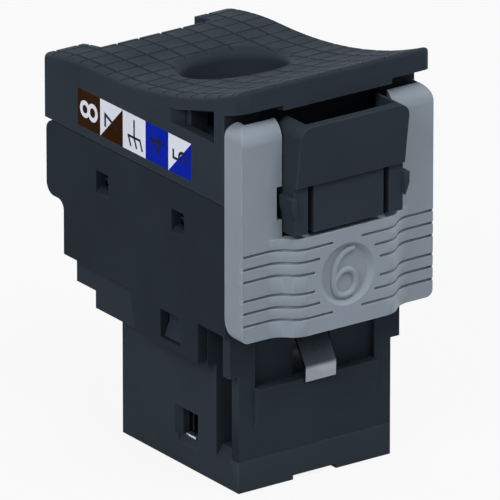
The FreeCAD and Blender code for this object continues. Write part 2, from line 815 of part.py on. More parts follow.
def circuit_board():
    body = new_body("circuit_board")
    side = inner_side - s.board_edge_gap
    contact_holes = [octagon(contact_x(number), contact_y, s.contact_hole_radius)
                     for number in range(1, CONTACTS + 1)]
    terminal_holes = [octagon(row_x, tower_place(index), s.terminal_hole_radius)
                      for index in range(TOWERS_PER_ROW)]
    prism(body, "board", "Z", band_top, board_top,
          rectangle(-side, side, inner_front + s.board_edge_gap, inner_back - s.board_edge_gap),
          *contact_holes, *both_sides(*terminal_holes))
    return body


def terminal_block():
    body = new_body("terminal_block")
    front, back = inner_front + s.block_end_gap, inner_back - s.block_end_gap
    prism(body, "block", "Z", board_top, s.deck_top, rectangle(-block_side, block_side, front, back))
    cut_prism(body, "hollow", "Z", board_top, deck_bottom, rectangle(
        -block_side + s.block_wall, block_side - s.block_wall, front + s.block_wall, back - s.block_wall))
    first = tower_place(0)
    half = s.tower_depth / 2
    tower = prism(body, "tower", "Z", s.deck_top, s.tower_top, *both_sides(
        rectangle(s.tower_inner, block_side, first - half, first + half)))
    wire_slot = cut_prism(body, "wire_slot", "Z", s.tower_top - s.wire_slot_depth, s.tower_top, rectangle(
        -block_side, block_side, first - s.wire_slot / 2, first + s.wire_slot / 2))
    blade_half = s.blade_thick / 2 + s.blade_fit
    blade_side = s.blade_width / 2 + s.blade_fit
    blade_slot = cut_prism(body, "blade_slot", "Z", deck_bottom, s.tower_top, *both_sides(rectangle(
        row_x - blade_half, row_x + blade_half, first - blade_side, first + blade_side)))
    repeat(body, "rows", "Y_Axis", s.terminal_pitch, TOWERS_PER_ROW, tower, wire_slot, blade_slot)
    return body


def forked_terminal(label, x, index):
    """A flat blade with a wire fork at the top and a pin that goes through the board."""
    body = new_body(label)
    tip = s.tower_top - s.blade_tip_drop
    shoulder = deck_bottom + (s.blade_width - s.neck_width) / 2
    place = tower_place(index)
    half = [
        (s.pin_width / 2, band_top - s.pin_below_board), (s.pin_width / 2, board_top),
        (s.neck_width / 2, board_top), (s.neck_width / 2, deck_bottom),
        (s.blade_width / 2, shoulder), (s.blade_width / 2, tip),
        (s.blade_mouth / 2, tip), (s.blade_slot / 2, tip - s.blade_mouth_depth),
        (s.blade_slot / 2, tip - s.blade_slot_depth)]
    loop = [(place + y, z) for y, z in half] + [(place - y, z) for y, z in reversed(half)]
    prism(body, "blade", "X", x - s.blade_thick / 2, x + s.blade_thick / 2, loop)
    return body


def terminals():
    """Two rows of forked terminals with a ground position in the middle of each."""
    made, number = [], 1
    for side, x in (("left", -row_x), ("right", row_x)):
        for index in range(TOWERS_PER_ROW):
            if index == GROUND_TOWER:
                made.append(forked_terminal(f"drain_terminal_{side}", x, index))
                continue
            made.append(forked_terminal(f"idc_terminal_{number}", x, index))
            number += 1
    return made


def contact_x(number):
    return (number - (CONTACTS + 1) / 2) * s.contact_pitch


def plug_contact(number):
    """A strip that runs down the comb, turns at the mouth and leans back into the socket."""
    body = new_body(f"contact_{number}")
    half = s.contact_thick / 2
    middle = contact_y - s.contact_bend
    outer, inner = s.contact_bend + half, s.contact_bend - half
    across, along = cosine(s.contact_lean), sine(s.contact_lean)
    top = board_top + s.contact_tail
    height = s.contact_bend_height
    run_y, run_z = -s.contact_run * along, s.contact_run * across
    loop = [
        (contact_y + half, top), (contact_y + half, height, -outer),
        (middle - outer * across, height - outer * along),
        (middle - outer * across + run_y, height - outer * along + run_z),
        (middle - inner * across + run_y, height - inner * along + run_z),
        (middle - inner * across, height - inner * along, inner),
        (contact_y - half, height), (contact_y - half, top)]
    x = contact_x(number)
    prism(body, "strip", "X", x - s.contact_width / 2, x + s.contact_width / 2, loop)
    return body


def contact_carrier():
    body = new_body("contact_carrier")
    side = s.comb_width / 2
    back = nose_back - s.nose_wall - s.comb_clearance
    prism(body, "comb", "Z", s.mouth_lip, s.comb_top,
          rectangle(-side, side, cavity_back + s.comb_clearance, back))
    first = contact_x(1)
    slot = cut_prism(body, "slot", "Z", s.mouth_lip, s.comb_top, rectangle(
        first - s.comb_slot / 2, first + s.comb_slot / 2, cavity_back, back - s.comb_web))
    repeat(body, "slots", "X_Axis", s.contact_pitch, CONTACTS, slot)
    return body


def plug_shield():
    body = new_body("plug_shield")
    inner = s.plug_width / 2
    outer = inner + s.shield_thick
    top = s.socket_depth
    front = cavity_front + s.shield_clearance
    prism(body, "liner", "Y", front, front + s.shield_depth, [
        (-outer, s.shield_bottom), (-outer, top), (outer, top), (outer, s.shield_bottom),
        (inner, s.shield_bottom), (inner, top - s.shield_thick),
        (-inner, top - s.shield_thick), (-inner, s.shield_bottom)])
    lug_front = front + s.shield_lug_edge
    lug_back = s.nose_window_back - s.nose_window_bevel
    lug_bottom = s.nose_window_bottom + s.shield_clearance
    lug_top = lug_bottom + s.shield_thick
    prism(body, "lugs", "Z", lug_bottom, lug_top, *both_sides(
        rectangle(outer, outer + s.shield_lug_reach, lug_front, lug_back)))
    cut_prism(body, "lug_holes", "X", -outer, outer, rectangle(
        front, lug_back, lug_top, s.nose_window_bottom + s.nose_window_height))
    return body


def ground_spring():
    """A hairpin strip: up from its foot on the socket, over, and down in front of the latch's recess."""
    thick = s.strip_thick.number
    foot_y = socket_front.number - thick / 2
    crest_z = s.strip_crest.number
    nose_y = nose_front.number - s.strip_nose_reach.number
    tip_y = nose_front.number - s.strip_tip_reach.number
    tip_z = s.catch_ledge.number - s.strip_tip_drop.number
    turn_y = lever_back.number + s.strip_top_bend.number
    corners = [(foot_y, s.strip_foot.number), (foot_y, crest_z), (turn_y, crest_z),
               (nose_y, s.strip_nose_height.number), (tip_y, tip_z)]
    bends = [s.strip_top_bend.number / 2, s.strip_top_bend.number, s.strip_nose_bend.number]
    face = bent_strip(corners, bends, thick)
    width = s.strip_width.number
    spring = doc.addObject("Part::Feature", "ground_spring")
    spring.Label = "ground_spring"
    spring.Shape = face.extrude(FreeCAD.Vector(width, 0, 0)).translated(FreeCAD.Vector(-width / 2, 0, 0))
    return spring


def bent_strip(corners, bends, thick):
    """The side face of a strip whose middle line turns at each inner corner with the given radius."""
    points = [FreeCAD.Vector(0, y, z) for y, z in corners]
    left_side, right_side = [], []
    start = points[0]
    for before, corner, after, bend in zip(points, points[1:], points[2:], bends):
        way_in = (corner - before).normalize()
        way_out = (after - corner).normalize()
        reach = bend * math.tan(way_in.getAngle(way_out) / 2)
        turn_start, turn_end = corner - way_in * reach, corner + way_out * reach
        inward = (way_out - way_in).normalize()
        middle = corner + inward * math.hypot(reach, bend)
        for side, edges in ((thick / 2, left_side), (-thick / 2, right_side)):
            offset_in = FreeCAD.Vector(0, -way_in.z, way_in.y) * side
            offset_out = FreeCAD.Vector(0, -way_out.z, way_out.y) * side
            radius = (turn_start + offset_in - middle).Length
            edges.append(Part.LineSegment(start + offset_in, turn_start + offset_in).toShape())
            edges.append(Part.Arc(turn_start + offset_in, middle - inward * radius,
                                  turn_end + offset_out).toShape())
        start = turn_end
    end = points[-1]
    way = (end - start).normalize()
    for side, edges in ((thick / 2, left_side), (-thick / 2, right_side)):
        offset = FreeCAD.Vector(0, -way.z, way.y) * side
        edges.append(Part.LineSegment(start + offset, end + offset).toShape())
    first_cap = Part.LineSegment(left_side[0].firstVertex(True).Point, right_side[0].firstVertex(True).Point)
    last_cap = Part.LineSegment(left_side[-1].lastVertex(True).Point, right_side[-1].lastVertex(True).Point)
    edges = Part.sortEdges([*left_side, *right_side, first_cap.toShape(), last_cap.toShape()])[0]
    return Part.Face(Part.Wire(edges))


def cap_arcs():
    """The radii of the cap's top: a low crown at the back that sweeps up to the lip."""
    back_run, back_rise = s.cap_back - s.cap_crown_place, s.cap_crown - s.cap_back_top
    sweep_run, sweep_rise = s.cap_crown_place + s.lip_front, s.lip_top - s.cap_crown
    crown = (back_run * back_run + back_rise * back_rise) / (2 * back_rise)
    sweep = (sweep_run * sweep_run + sweep_rise * sweep_rise) / (2 * sweep_rise)
    return crown, sweep


def under_top(place, depth):
    """The height of the surface that lies depth below the cap's top at one place along Y."""
    crown, sweep = cap_arcs()
    offset = place - s.cap_crown_place
    if offset.number > 0:
        radius = crown - depth
        return s.cap_crown - crown + root(radius * radius - offset * offset)
    radius = sweep + depth
    return s.cap_crown + sweep - root(radius * radius - offset * offset)


def wire_cap():
    body = new_body("wire_cap")
    crown, sweep = cap_arcs()
    lip_front = -s.lip_front
    recess_back = cheek_front + s.cap_recess_depth
    cap_inner_front = recess_back + s.cap_front_wall
    cap_inner_back = s.cap_back - s.cap_wall
    cap_cheek = cheek_front + s.cap_cheek_gap
    prism(body, "shell", "X", -wide_side, wide_side, [
        (cap_cheek, cap_bottom), (s.cap_back, cap_bottom), (s.cap_back, s.cap_back_top, crown),
        (s.cap_crown_place, s.cap_crown, -sweep), (lip_front, s.lip_top),
        (lip_front, s.lip_bottom), (cap_cheek, s.lip_root)])
    rounded(body, "lip_corners", s.lip_corner_round, upright_at_lip)
    inner = wide_side - s.cap_wall
    step_front = s.cap_back - s.back_notch_depth - s.cap_wall
    step_bottom = s.back_notch_bottom - s.cap_wall
    cut_prism(body, "hollow", "X", -inner, inner, [
        (cap_inner_front, cap_bottom), (cap_inner_back, cap_bottom),
        (cap_inner_back, step_bottom), (step_front, step_bottom),
        (step_front, under_top(step_front, s.cap_roof), crown - s.cap_roof),
        (s.cap_crown_place, s.cap_crown - s.cap_roof, -(sweep + s.cap_roof)),
        (cap_inner_front, under_top(cap_inner_front, s.cap_roof))])
    cut_prism(body, "lever_recess", "Y", cheek_front, recess_back, rectangle(
        -s.channel_width / 2, s.channel_width / 2, cap_bottom, s.cap_recess_top))
    lip_side = s.lip_middle_width / 2
    lip_end = s.lip_bottom + s.lip_end_rise
    lip_wedge = cut_prism(body, "lip_end", "X", lip_side, wide_side, [
        (lip_front, s.lip_bottom), (cap_cheek, s.lip_root), (lip_front, lip_end)])
    mirror_across(body, "lip_ends", lip_wedge)
    cut_cable_hole(body)
    notch_side = s.back_notch_width / 2
    cut_prism(body, "back_notch", "Z", s.back_notch_bottom, s.lip_top, rectangle(
        -notch_side, notch_side, s.cap_back - s.back_notch_depth, s.cap_back))
    side_window = [
        (s.side_window_front, s.side_window_bottom), (s.side_window_back, s.side_window_bottom),
        (s.side_window_back, s.side_window_low), (s.side_window_front, s.side_window_high)]
    window = cut_prism(body, "side_window", "X", wide_side - s.side_window_depth, wide_side, side_window)
    jamb = cut_prism(body, "window_jamb", "Z", s.side_window_bottom, s.side_window_low, [
        (wide_side, s.side_window_back), (wide_side - s.cap_wall, s.side_window_back),
        (wide_side, s.side_window_back + s.side_window_jamb)])
    label = cut_prism(body, "label_seat", "X", wide_side - s.label_thick, wide_side, label_field())
    mirror_across(body, "side_cuts", window, jamb, label)
    add_pushers(body, inner)
    add_snap_legs(body, inner)
    rib_back = s.side_window_back + s.window_rib_wall
    prism(body, "window_ribs", "Y", s.side_window_back, rib_back, *both_sides(rectangle(
        inner - s.window_rib_depth, inner, s.side_window_bottom, under_top(rib_back, s.cap_roof / 2))))
    return body


def upright_at_lip(edge):
    box = edge.BoundBox
    return box.YMax < -s.lip_front.number + TOUCH and box.ZLength > box.XLength


def cable_hole(margin):
    """The long round outline of the cable hole, larger all round by a margin."""
    half_long, half_short = s.hole_width / 2 + margin, s.hole_depth / 2 + margin
    straight = half_long - half_short
    near, far = s.hole_place - half_short, s.hole_place + half_short
    return [(-straight, near), (straight, near, half_short), (half_long, s.hole_place, half_short),
            (straight, far), (-straight, far, half_short), (-half_long, s.hole_place, half_short)]


def cut_cable_hole(body):
    """A long round hole for the cable, with a collar below, open to the chamber."""
    half_long, half_short = s.hole_width / 2, s.hole_depth / 2
    near, far = s.hole_place - half_short, s.hole_place + half_short
    prism(body, "collar", "Z", s.collar_bottom, under_top(far, s.collar_cover), cable_hole(s.collar_wall))
    cut_prism(body, "cable_hole", "Z", cap_bottom, s.lip_top, cable_hole(as_size(0)))

    def on_rim(edge):
        box = edge.BoundBox
        half_way_down = under_top(as_size(edge.CenterOfMass.y), s.cap_roof / 2).number
        across = max(abs(box.XMin), abs(box.XMax)) <= half_long.number + TOUCH
        along = near.number - TOUCH <= box.YMin and box.YMax <= far.number + TOUCH
        return across and along and edge.CenterOfMass.z > half_way_down

    rounded(body, "hole_rim", s.hole_round, on_rim)


def add_pushers(body, inner):
    """Fins that press each wire into its fork, split where the blade stands."""
    half = s.pusher_width / 2
    blade_half = s.blade_thick / 2 + s.pusher_side_room
    for index in range(TOWERS_PER_ROW):
        place = tower_place(index)
        ceiling = under_top(place, s.cap_roof / 2)
        prism(body, f"pusher_{index + 1}", "Y", place - half, place + half, *both_sides(
            rectangle(s.pusher_inner, row_x - blade_half, s.pusher_bottom, ceiling),
            rectangle(row_x + blade_half, inner, s.pusher_bottom, ceiling)))


def add_snap_legs(body, inner):
    leg_outer = inner_side - s.snap_clearance
    leg_inner = leg_outer - s.snap_leg_wall
    barb_bottom = snap_window_bottom + s.snap_clearance
    barb_top = barb_bottom + s.barb_height
    barb_side = leg_outer + s.barb_proud
    root_top = s.label_bottom
    half, barb_half = s.snap_leg_width / 2, s.barb_width / 2
    for number, place in enumerate(snap_places, start=1):
        prism(body, f"snap_leg_{number}", "Y", place - half, place + half, *both_sides([
            (leg_inner, barb_bottom), (leg_outer, barb_bottom), (leg_outer, cap_bottom),
            (inner, cap_bottom), (inner, root_top), (leg_inner, root_top)]))
        prism(body, f"barb_{number}", "Y", place - barb_half, place + barb_half, *both_sides([
            (leg_outer, barb_bottom), (barb_side, barb_top), (leg_outer, barb_top)]))


def label_field():
    return rectangle(s.label_front, s.label_front + s.label_length,
                     s.label_bottom, s.label_bottom + s.label_height)


def wiring_label(side, low):
    body = new_body(f"label_{side}")
    prism(body, "sheet", "X", low, low + s.label_thick, label_field())
    return body


def build():
    pieces = [front_housing(), latch_lever(), front_plate(), rear_housing(), wire_cap(),
              ground_spring(), plug_shield(), contact_carrier(), circuit_board(), terminal_block(),
              wiring_label("left", -wide_side), wiring_label("right", wide_side - s.label_thick)]
    pieces += [plug_contact(number) for number in range(1, CONTACTS + 1)]
    pieces += terminals()
    doc.recompute()
    return pieces


def write(pieces):
    for item in doc.Objects:
        if "Invalid" in item.State or "Error" in item.State:
            raise RuntimeError(f"{item.Name} did not build: {item.State}")
    for piece in pieces:
        if piece.Shape.isNull() or not piece.Shape.isValid():
            raise RuntimeError(f"{piece.Label} has no sound shape")
        if len(piece.Shape.Solids) != 1:
            raise RuntimeError(f"{piece.Label} came out as {len(piece.Shape.Solids)} solids")
    os.makedirs("parts", exist_ok=True)
    for piece in pieces:
        piece.Shape.exportStep(f"parts/{piece.Label}.step")


write(build())
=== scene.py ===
"""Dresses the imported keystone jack: moulded shells, printed labels, bright metal and a plain studio."""

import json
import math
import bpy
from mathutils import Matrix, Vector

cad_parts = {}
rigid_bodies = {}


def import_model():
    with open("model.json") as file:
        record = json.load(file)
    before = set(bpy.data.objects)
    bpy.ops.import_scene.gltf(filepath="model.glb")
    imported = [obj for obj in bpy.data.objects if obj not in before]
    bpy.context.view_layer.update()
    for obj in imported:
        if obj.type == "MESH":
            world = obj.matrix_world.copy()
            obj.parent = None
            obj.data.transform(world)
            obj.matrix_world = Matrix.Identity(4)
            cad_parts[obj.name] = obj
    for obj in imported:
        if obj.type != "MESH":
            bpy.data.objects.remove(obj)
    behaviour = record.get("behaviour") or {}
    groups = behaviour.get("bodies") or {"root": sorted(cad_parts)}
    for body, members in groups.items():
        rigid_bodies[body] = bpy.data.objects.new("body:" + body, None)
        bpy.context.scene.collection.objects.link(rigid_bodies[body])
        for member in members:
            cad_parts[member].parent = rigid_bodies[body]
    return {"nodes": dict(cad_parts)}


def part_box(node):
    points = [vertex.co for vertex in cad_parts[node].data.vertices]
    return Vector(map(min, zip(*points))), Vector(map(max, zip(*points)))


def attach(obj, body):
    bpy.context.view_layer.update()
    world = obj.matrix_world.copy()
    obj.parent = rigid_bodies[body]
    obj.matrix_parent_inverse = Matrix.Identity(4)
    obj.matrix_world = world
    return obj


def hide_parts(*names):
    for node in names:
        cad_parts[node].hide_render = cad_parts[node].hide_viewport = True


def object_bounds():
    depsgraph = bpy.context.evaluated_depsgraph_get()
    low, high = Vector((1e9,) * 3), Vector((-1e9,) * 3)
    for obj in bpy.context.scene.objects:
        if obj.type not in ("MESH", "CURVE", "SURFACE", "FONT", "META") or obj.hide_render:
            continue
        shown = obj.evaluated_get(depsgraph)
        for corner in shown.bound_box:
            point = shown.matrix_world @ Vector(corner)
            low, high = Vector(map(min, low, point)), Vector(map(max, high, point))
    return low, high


bl_info = {
    "name": "Keystone jack",
    "version": (1, 0, 0),
    "blender": (4, 5, 0),
    "location": "3D View > Sidebar > Jack",
    "description": "Finishes the pieces of a keystone jack and lights them in a plain studio",
    "category": "Object",
}

import bmesh
import bpy
from bpy.props import FloatProperty, FloatVectorProperty, IntProperty, PointerProperty
from mathutils import Matrix, Vector
from mathutils.bvhtree import BVHTree

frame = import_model()
cad_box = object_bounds()

MM = 0.001
JACK, CAP = "jack", "cap"
COLOUR, FLOAT = "NodeSocketColor", "NodeSocketFloat"

# Tolerances of the mesh work
WELD = 1e-6
FLAT_ANGLE = math.radians(0.6)
SHARP_ANGLE = math.radians(35.0)
FLAT_FACE_WEIGHT = 100
UPWARD = 0.5
PROBE_REACH = 10 * MM

# Places on the jack that the boxes of its nodes don't give
NOSE_HALF_WIDTH = 7.2 * MM
SOCKET_MIDDLE = 1.4 * MM
SOCKET_HALF_DEPTH = 6.4 * MM
LIP_CORNER = 1.1 * MM
ROOF_FALL = 5.1 * MM
PADDLE_HEIGHT = 4.6 * MM
PADDLE_SKIN = 0.72 * MM
# Above this bend the ground strip gets a painted shade.
STRIP_BEND = (9.3 * MM, 9.6 * MM)
# Inside these distances from the middle the plug liner gets a painted shade.
LINER_WALL = (6.4 * MM, 6.2 * MM)

# Fineness of the small forms
GRID_STATIONS = 60
CAP_EDGE_FACES = 4
STOP_FACES = 6
STOP_INSET = 0.005 * MM

# Digits on the labels: share of the digit height, and how far the outline is grown
BOLD_DIGIT = (1.15, 0.004)
THIN_DIGIT = (0.92, -0.008)
GROUND_STROKE = 0.09

# Surfaces of the mouldings and the sheet metal
SHELL_SURFACE = {"flow_share": 0.9, "grain_scale": 5200.0, "smooth": 0.5, "rough": 0.62,
                 "grain_height": 0.006 * MM, "shine": 0.015, "highlight_width": 0.16 * MM}
PLATE_SURFACE = {"flow_share": 0.95, "grain_scale": 4200.0, "smooth": 0.44, "rough": 0.58,
                 "grain_height": 0.005 * MM, "shine": 0.12, "highlight_width": 0.1 * MM}
BLOCK_SURFACE = {**SHELL_SURFACE, "smooth": 0.4, "rough": 0.55, "shine": 0.2}
COMB_SURFACE = {**BLOCK_SURFACE, "flow_share": 0.8, "smooth": 0.35, "rough": 0.5}
TINNED_SURFACE = {"smooth": 0.25, "rough": 0.42}
GOLD_SURFACE = {"smooth": 0.16, "rough": 0.34}
TERMINAL_SURFACE = {"smooth": 0.26, "rough": 0.46}
FILM_SURFACE = {"grain_scale": 9000.0, "smoothest": 0.42, "roughest": 0.55}
FILM_PALE = (1.08, 0.004)
CLOTH_PALE = (1.35, 0.01)
# The rear housing's edge highlight, darkened with its painted shade.
REAR_HIGHLIGHT_SHARE = 0.65
STRIP_SHARE, STRIP_STAIN_SHARE = 0.55, 0.4
LINER_STAIN_SHARE, GOLD_STAIN_SHARE, TIN_STAIN_SHARE = 0.8, 0.75, 0.7
FILM_SHINE = 0.008
FILM_HEIGHT = 0.002 * MM
DRAWN_HEIGHT = 0.0008 * MM
CLOTH_HEIGHT = 0.01 * MM

# Spans of the noise and of the corner's turn that the effects use
FLOW_SPAN = (0.35, 0.7)
STAIN_SPAN = (0.45, 0.75)
ROUGH_SPAN = (0.7, 1.3)
CORNER_SPAN = (1.0, 0.8)
PATCH_SPAN = (0.3, 0.7)
CLOTH_ROUGHNESS = (0.25, 0.4)

# Lamps: where each hangs, in metres, and the side of its square
KEY_LAMP = ((-0.42, -0.14, 0.34), 0.22)
TOP_LAMP = ((0.03, -0.27, 0.44), 0.25)
RIGHT_LAMP = ((0.5, -0.05, 0.12), 0.3)
BACK_LAMP = ((-0.05, 0.5, 0.14), 0.3)
AIR_COLOUR = (0.94, 0.97, 1, 1)
WHITE = (1, 1, 1, 1)
PAPER_ROUGHNESS = 0.9
FLOOR_HALF = 3.0
FLOOR_DROP = 0.02 * MM
VIEW_REACH = 10.0


def screen(red, green, blue):
    """A colour as a screen shows it, 0 to 255, as the linear values that shaders take."""
    def linear(value):
        share = value / 255
        return share / 12.92 if share <= 0.04045 else ((share + 0.055) / 1.055) ** 2.4
    return tuple(linear(value) for value in (red, green, blue))


def colour(name, description, default):
    """A colour that a user may change."""
    return FloatVectorProperty(name=name, description=description, default=default,
                               subtype="COLOR", size=3, min=0, max=1)


def length(name, description, default):
    """A length that a user may change, its default given in millimetres."""
    return FloatProperty(name=name, description=description, default=default * MM,
                         subtype="DISTANCE", unit="LENGTH", min=0, precision=5)


class JackColours(bpy.types.PropertyGroup):
    """Colours of the mouldings, the metal and the print, and of the painted edge highlights and painted
    shade.
    """
    shell: colour("Shell", "Black filled plastic of the nose, the latch and the cap", screen(47, 55, 63))
    # The rear housing's black is the shell's plastic made darker: painted shade.
    rear: colour("Shaded rear frame", "Darker batch of the plastic for the rear housing", screen(38, 46, 53))
    # A painted highlight along the edges of the black shells and the comb.
    shell_highlight: colour("Shell edge highlight", "Black plastic where its edges are rubbed", screen(62, 73, 82))
    plate: colour("Plate", "Grey painted front plate", screen(136, 146, 156))
    # A painted highlight along the edges of the grey plate.
    plate_highlight: colour("Plate edge highlight", "Grey plate along its edges", screen(176, 186, 194))
    strip: colour("Strip", "Tinned metal of the ground strip and the plug shield", screen(196, 202, 210))
    # A painted shade for the strip above its bend, where it reflects the dark plate, and for the inside of
    # the plug liner.
    strip_shade: colour("Painted strip shade", "Tinned metal where nothing wipes it", screen(56, 62, 70))
    gold: colour("Gold", "Plating of the plug contacts", screen(232, 190, 92))
    tin: colour("Tin", "Plating of the wire terminals", screen(205, 206, 208))
    block: colour("Block", "Dark moulding of the terminal towers", screen(42, 45, 50))
    comb: colour("Comb", "Dark moulding of the contact comb", screen(40, 42, 46))
    mask: colour("Solder mask", "Lacquer of the circuit board", screen(22, 84, 52))
    paper: colour("Label white", "White ground of the labels", screen(222, 227, 238))
    ink: colour("Label ink", "Dark print on the labels", screen(30, 33, 44))
    brown: colour("Brown", "Brown pair on the left label", screen(46, 22, 1))
    blue: colour("Blue", "Blue pair on the left label", screen(2, 30, 156))
    orange: colour("Orange", "Orange pair on the right label", screen(214, 106, 22))
    green: colour("Green", "Green pair on the right label", screen(22, 120, 58))


class JackEdges(bpy.types.PropertyGroup):
    """Small roundings that the moulds leave on every edge."""
    shell: length("Shell edge", "Width of the rounding along the edges of the black shells", 0.12)
    paddle: length("Paddle edge", "Width of the rounding round the face of the finger paddle", 0.7)
    cap_top: length("Cap edge", "Width of the rounding along the edge of the cap's top", 0.4)
    seam: length("Hinge seam", "Height of the seam between the latch and its foot, which stays crisp", 2.6)
    plate: length("Plate edge", "Width of the rounding along the edges of the grey plate", 0.08)
    metal: length("Metal edge", "Width of the rounding along stamped metal edges", 0.03)
    steps: IntProperty(name="Steps", description="Faces across one rounding", default=2, min=1, max=4)


class JackGrid(bpy.types.PropertyGroup):
    """The fine grid moulded into the top of the cap."""
    width: length("Line width", "Width of a groove of the grid", 0.28)
    depth: length("Line depth", "Depth of a groove of the grid", 0.32)
    across_pitch: length("Pitch across", "Step between the lines that run front to back", 2.08)
    across_start: length("First line across", "From the middle to a line that runs front to back", 0.33)
    along_pitch: length("Pitch along", "Step between the lines that run side to side", 1.88)
    along_start: length("First line along", "Place of the last line that runs side to side", 13.1)


class JackPrint(bpy.types.PropertyGroup):
    """Print and raised marks."""
    digit: length("Digit height", "Height of the digits on the labels", 2.1)
    proud: length("Ink thickness", "How far the print stands off the label", 0.012)
    numeral: length("Numeral height", "Height of the raised numeral in the round dish", 4.4)
    stroke: length("Numeral stroke", "Width of the raised numeral's stroke", 0.56)
    dish: length("Dish height", "Height of the middle of the dish above the plug face", 18.1)


class JackGrip(bpy.types.PropertyGroup):
    """The grip grooves of the front plate, which end short of the plate's sides."""
    start: length("First groove", "From the middle of the dish to the nearest groove", 0.78)
    pitch: length("Pitch", "Step between two grooves", 1.04)
    rows: IntProperty(name="Rows", description="Grooves above and below the middle of the dish",
                      default=3, min=1)
    width: length("Groove width", "Width of a groove", 0.25)
    depth: length("Groove depth", "Depth of a groove", 0.25)
    stop: length("Stop", "Length of the stop at a groove's outer end", 0.13)


class JackStudio(bpy.types.PropertyGroup):
    """Floor, lamps and camera."""
    aim: FloatVectorProperty(name="Aim", description="Point in the middle of the picture", subtype="XYZ",
                             unit="LENGTH", size=3, default=(-0.59 * MM, 0.0, 16.34 * MM))
    azimuth: FloatProperty(name="Azimuth", description="Turn of the camera round the jack", subtype="ANGLE",
                           default=math.radians(-35.3))
    elevation: FloatProperty(name="Elevation", description="Height of the camera over the floor",
                             subtype="ANGLE", default=math.radians(21.2))
    distance: length("Distance", "From the camera to the aim", 980)
    lens: FloatProperty(name="Lens", description="Focal length in millimetres", default=906, min=1)
    key: FloatProperty(name="Key", description="Power of the large soft lamp at upper left", unit="POWER",
                       default=1.35, min=0)
    top: FloatProperty(name="Top", description="Power of the soft lamp overhead", unit="POWER",
                       default=1.25, min=0)
    far: FloatProperty(name="Far", description="Power of each weak lamp at the right and the back",
                       unit="POWER", default=1.05, min=0)
    fill: FloatProperty(name="Fill", description="Strength of the even light all round",
                        default=0.32, min=0)
    paper: FloatProperty(name="Paper", description="How pale the floor is under the lamps",
                         default=0.46, min=0, max=1)
    whiteness: FloatProperty(name="Whiteness", description="How far the floor is seen as plain white",
                             subtype="FACTOR", default=0.9, min=0, max=1)


# Shader building

def add(tree, kind, **values):
    """Adds a shader node and sets its properties, or its inputs where the key names one."""
    made = tree.nodes.new(kind)
    for key, value in values.items():
        if hasattr(made, key):
            setattr(made, key, value)
        else:
            made.inputs[key.replace("_", " ").title()].default_value = value
    return made


def new_group(name, inputs, outputs):
    """An empty shader group with named sockets, and its two end nodes."""
    tree = bpy.data.node_groups.new(name, "ShaderNodeTree")
    for label, kind in inputs.items():
        tree.interface.new_socket(label, in_out="INPUT", socket_type=kind)
    for label, kind in outputs.items():
        tree.interface.new_socket(label, in_out="OUTPUT", socket_type=kind)
    return tree, tree.nodes.new("NodeGroupInput").outputs, tree.nodes.new("NodeGroupOutput").inputs


def feed(tree, value, socket):
    """Links a socket to another one, or sets it to a plain number or colour."""
    if isinstance(value, bpy.types.NodeSocket):
        tree.links.new(value, socket)
    else:
        socket.default_value = (*value, 1) if socket.type == "RGBA" else value


def surface_place(tree):
    """The place on the piece's surface, in the piece's own axes."""
    return add(tree, "ShaderNodeTexCoord").outputs["Object"]


def surface_axes(tree):
    """The place on the piece's surface as X, Y and Z."""
    apart = add(tree, "ShaderNodeSeparateXYZ")
    tree.links.new(surface_place(tree), apart.inputs["Vector"])
    return apart.outputs


def noise(tree, place, scale, detail):
    """Noise over the surface: scale is a number, or a socket that gives it."""
    made = add(tree, "ShaderNodeTexNoise", detail=detail)
    tree.links.new(place, made.inputs["Vector"])
    feed(tree, scale, made.inputs["Scale"])
    return made.outputs["Fac"]


def spread(tree, value, low, high, to_low=0.0, to_high=1.0):
    """Maps a value from one span to another; the ends of the new span may be sockets."""
    made = add(tree, "ShaderNodeMapRange")
    tree.links.new(value, made.inputs["Value"])
    for name, end in (("From Min", low), ("From Max", high), ("To Min", to_low), ("To Max", to_high)):
        feed(tree, end, made.inputs[name])
    return made.outputs["Result"]


def mixed(tree, share, first, second):
    """Mixes two colours, each a socket or a plain colour."""
    made = add(tree, "ShaderNodeMix", data_type="RGBA")
    colours = [socket for socket in made.inputs if socket.type == "RGBA"]
    tree.links.new(share, made.inputs["Factor"])
    for socket, value in zip(colours, (first, second)):
        feed(tree, value, socket)
    return next(socket for socket in made.outputs if socket.type == "RGBA")


def sums(tree, operation, *values):
    """One step of arithmetic on sockets or plain numbers."""
    made = add(tree, "ShaderNodeMath", operation=operation)
    for socket, value in zip(made.inputs, values):
        feed(tree, value, socket)
    return made.outputs["Value"]


def moulded_grain():
    """Spark-eroded mould texture: fine grain, broad flow marks and the roughness that goes with them."""
    tree, entry, leave = new_group(
        "Moulded grain",
        {"Colour": COLOUR, "Flow Colour": COLOUR, "Grain Scale": FLOAT,
         "Smoothest": FLOAT, "Roughest": FLOAT},
        {"Colour": COLOUR, "Roughness": FLOAT, "Height": FLOAT})
    place = surface_place(tree)
    flow_scale, speck_scale, speck_share = 160.0, 2600.0, 0.5
    grain = noise(tree, place, entry["Grain Scale"], detail=3.0)
    flow = noise(tree, place, flow_scale, detail=4.0)
    speck = noise(tree, place, speck_scale, detail=1.0)
    tree.links.new(mixed(tree, spread(tree, flow, *FLOW_SPAN), entry["Colour"], entry["Flow Colour"]),
                   leave["Colour"])
    tree.links.new(spread(tree, sums(tree, "ADD", flow, speck), *ROUGH_SPAN,
                          entry["Smoothest"], entry["Roughest"]), leave["Roughness"])
    tree.links.new(sums(tree, "ADD", grain, sums(tree, "MULTIPLY", speck, speck_share)), leave["Height"])


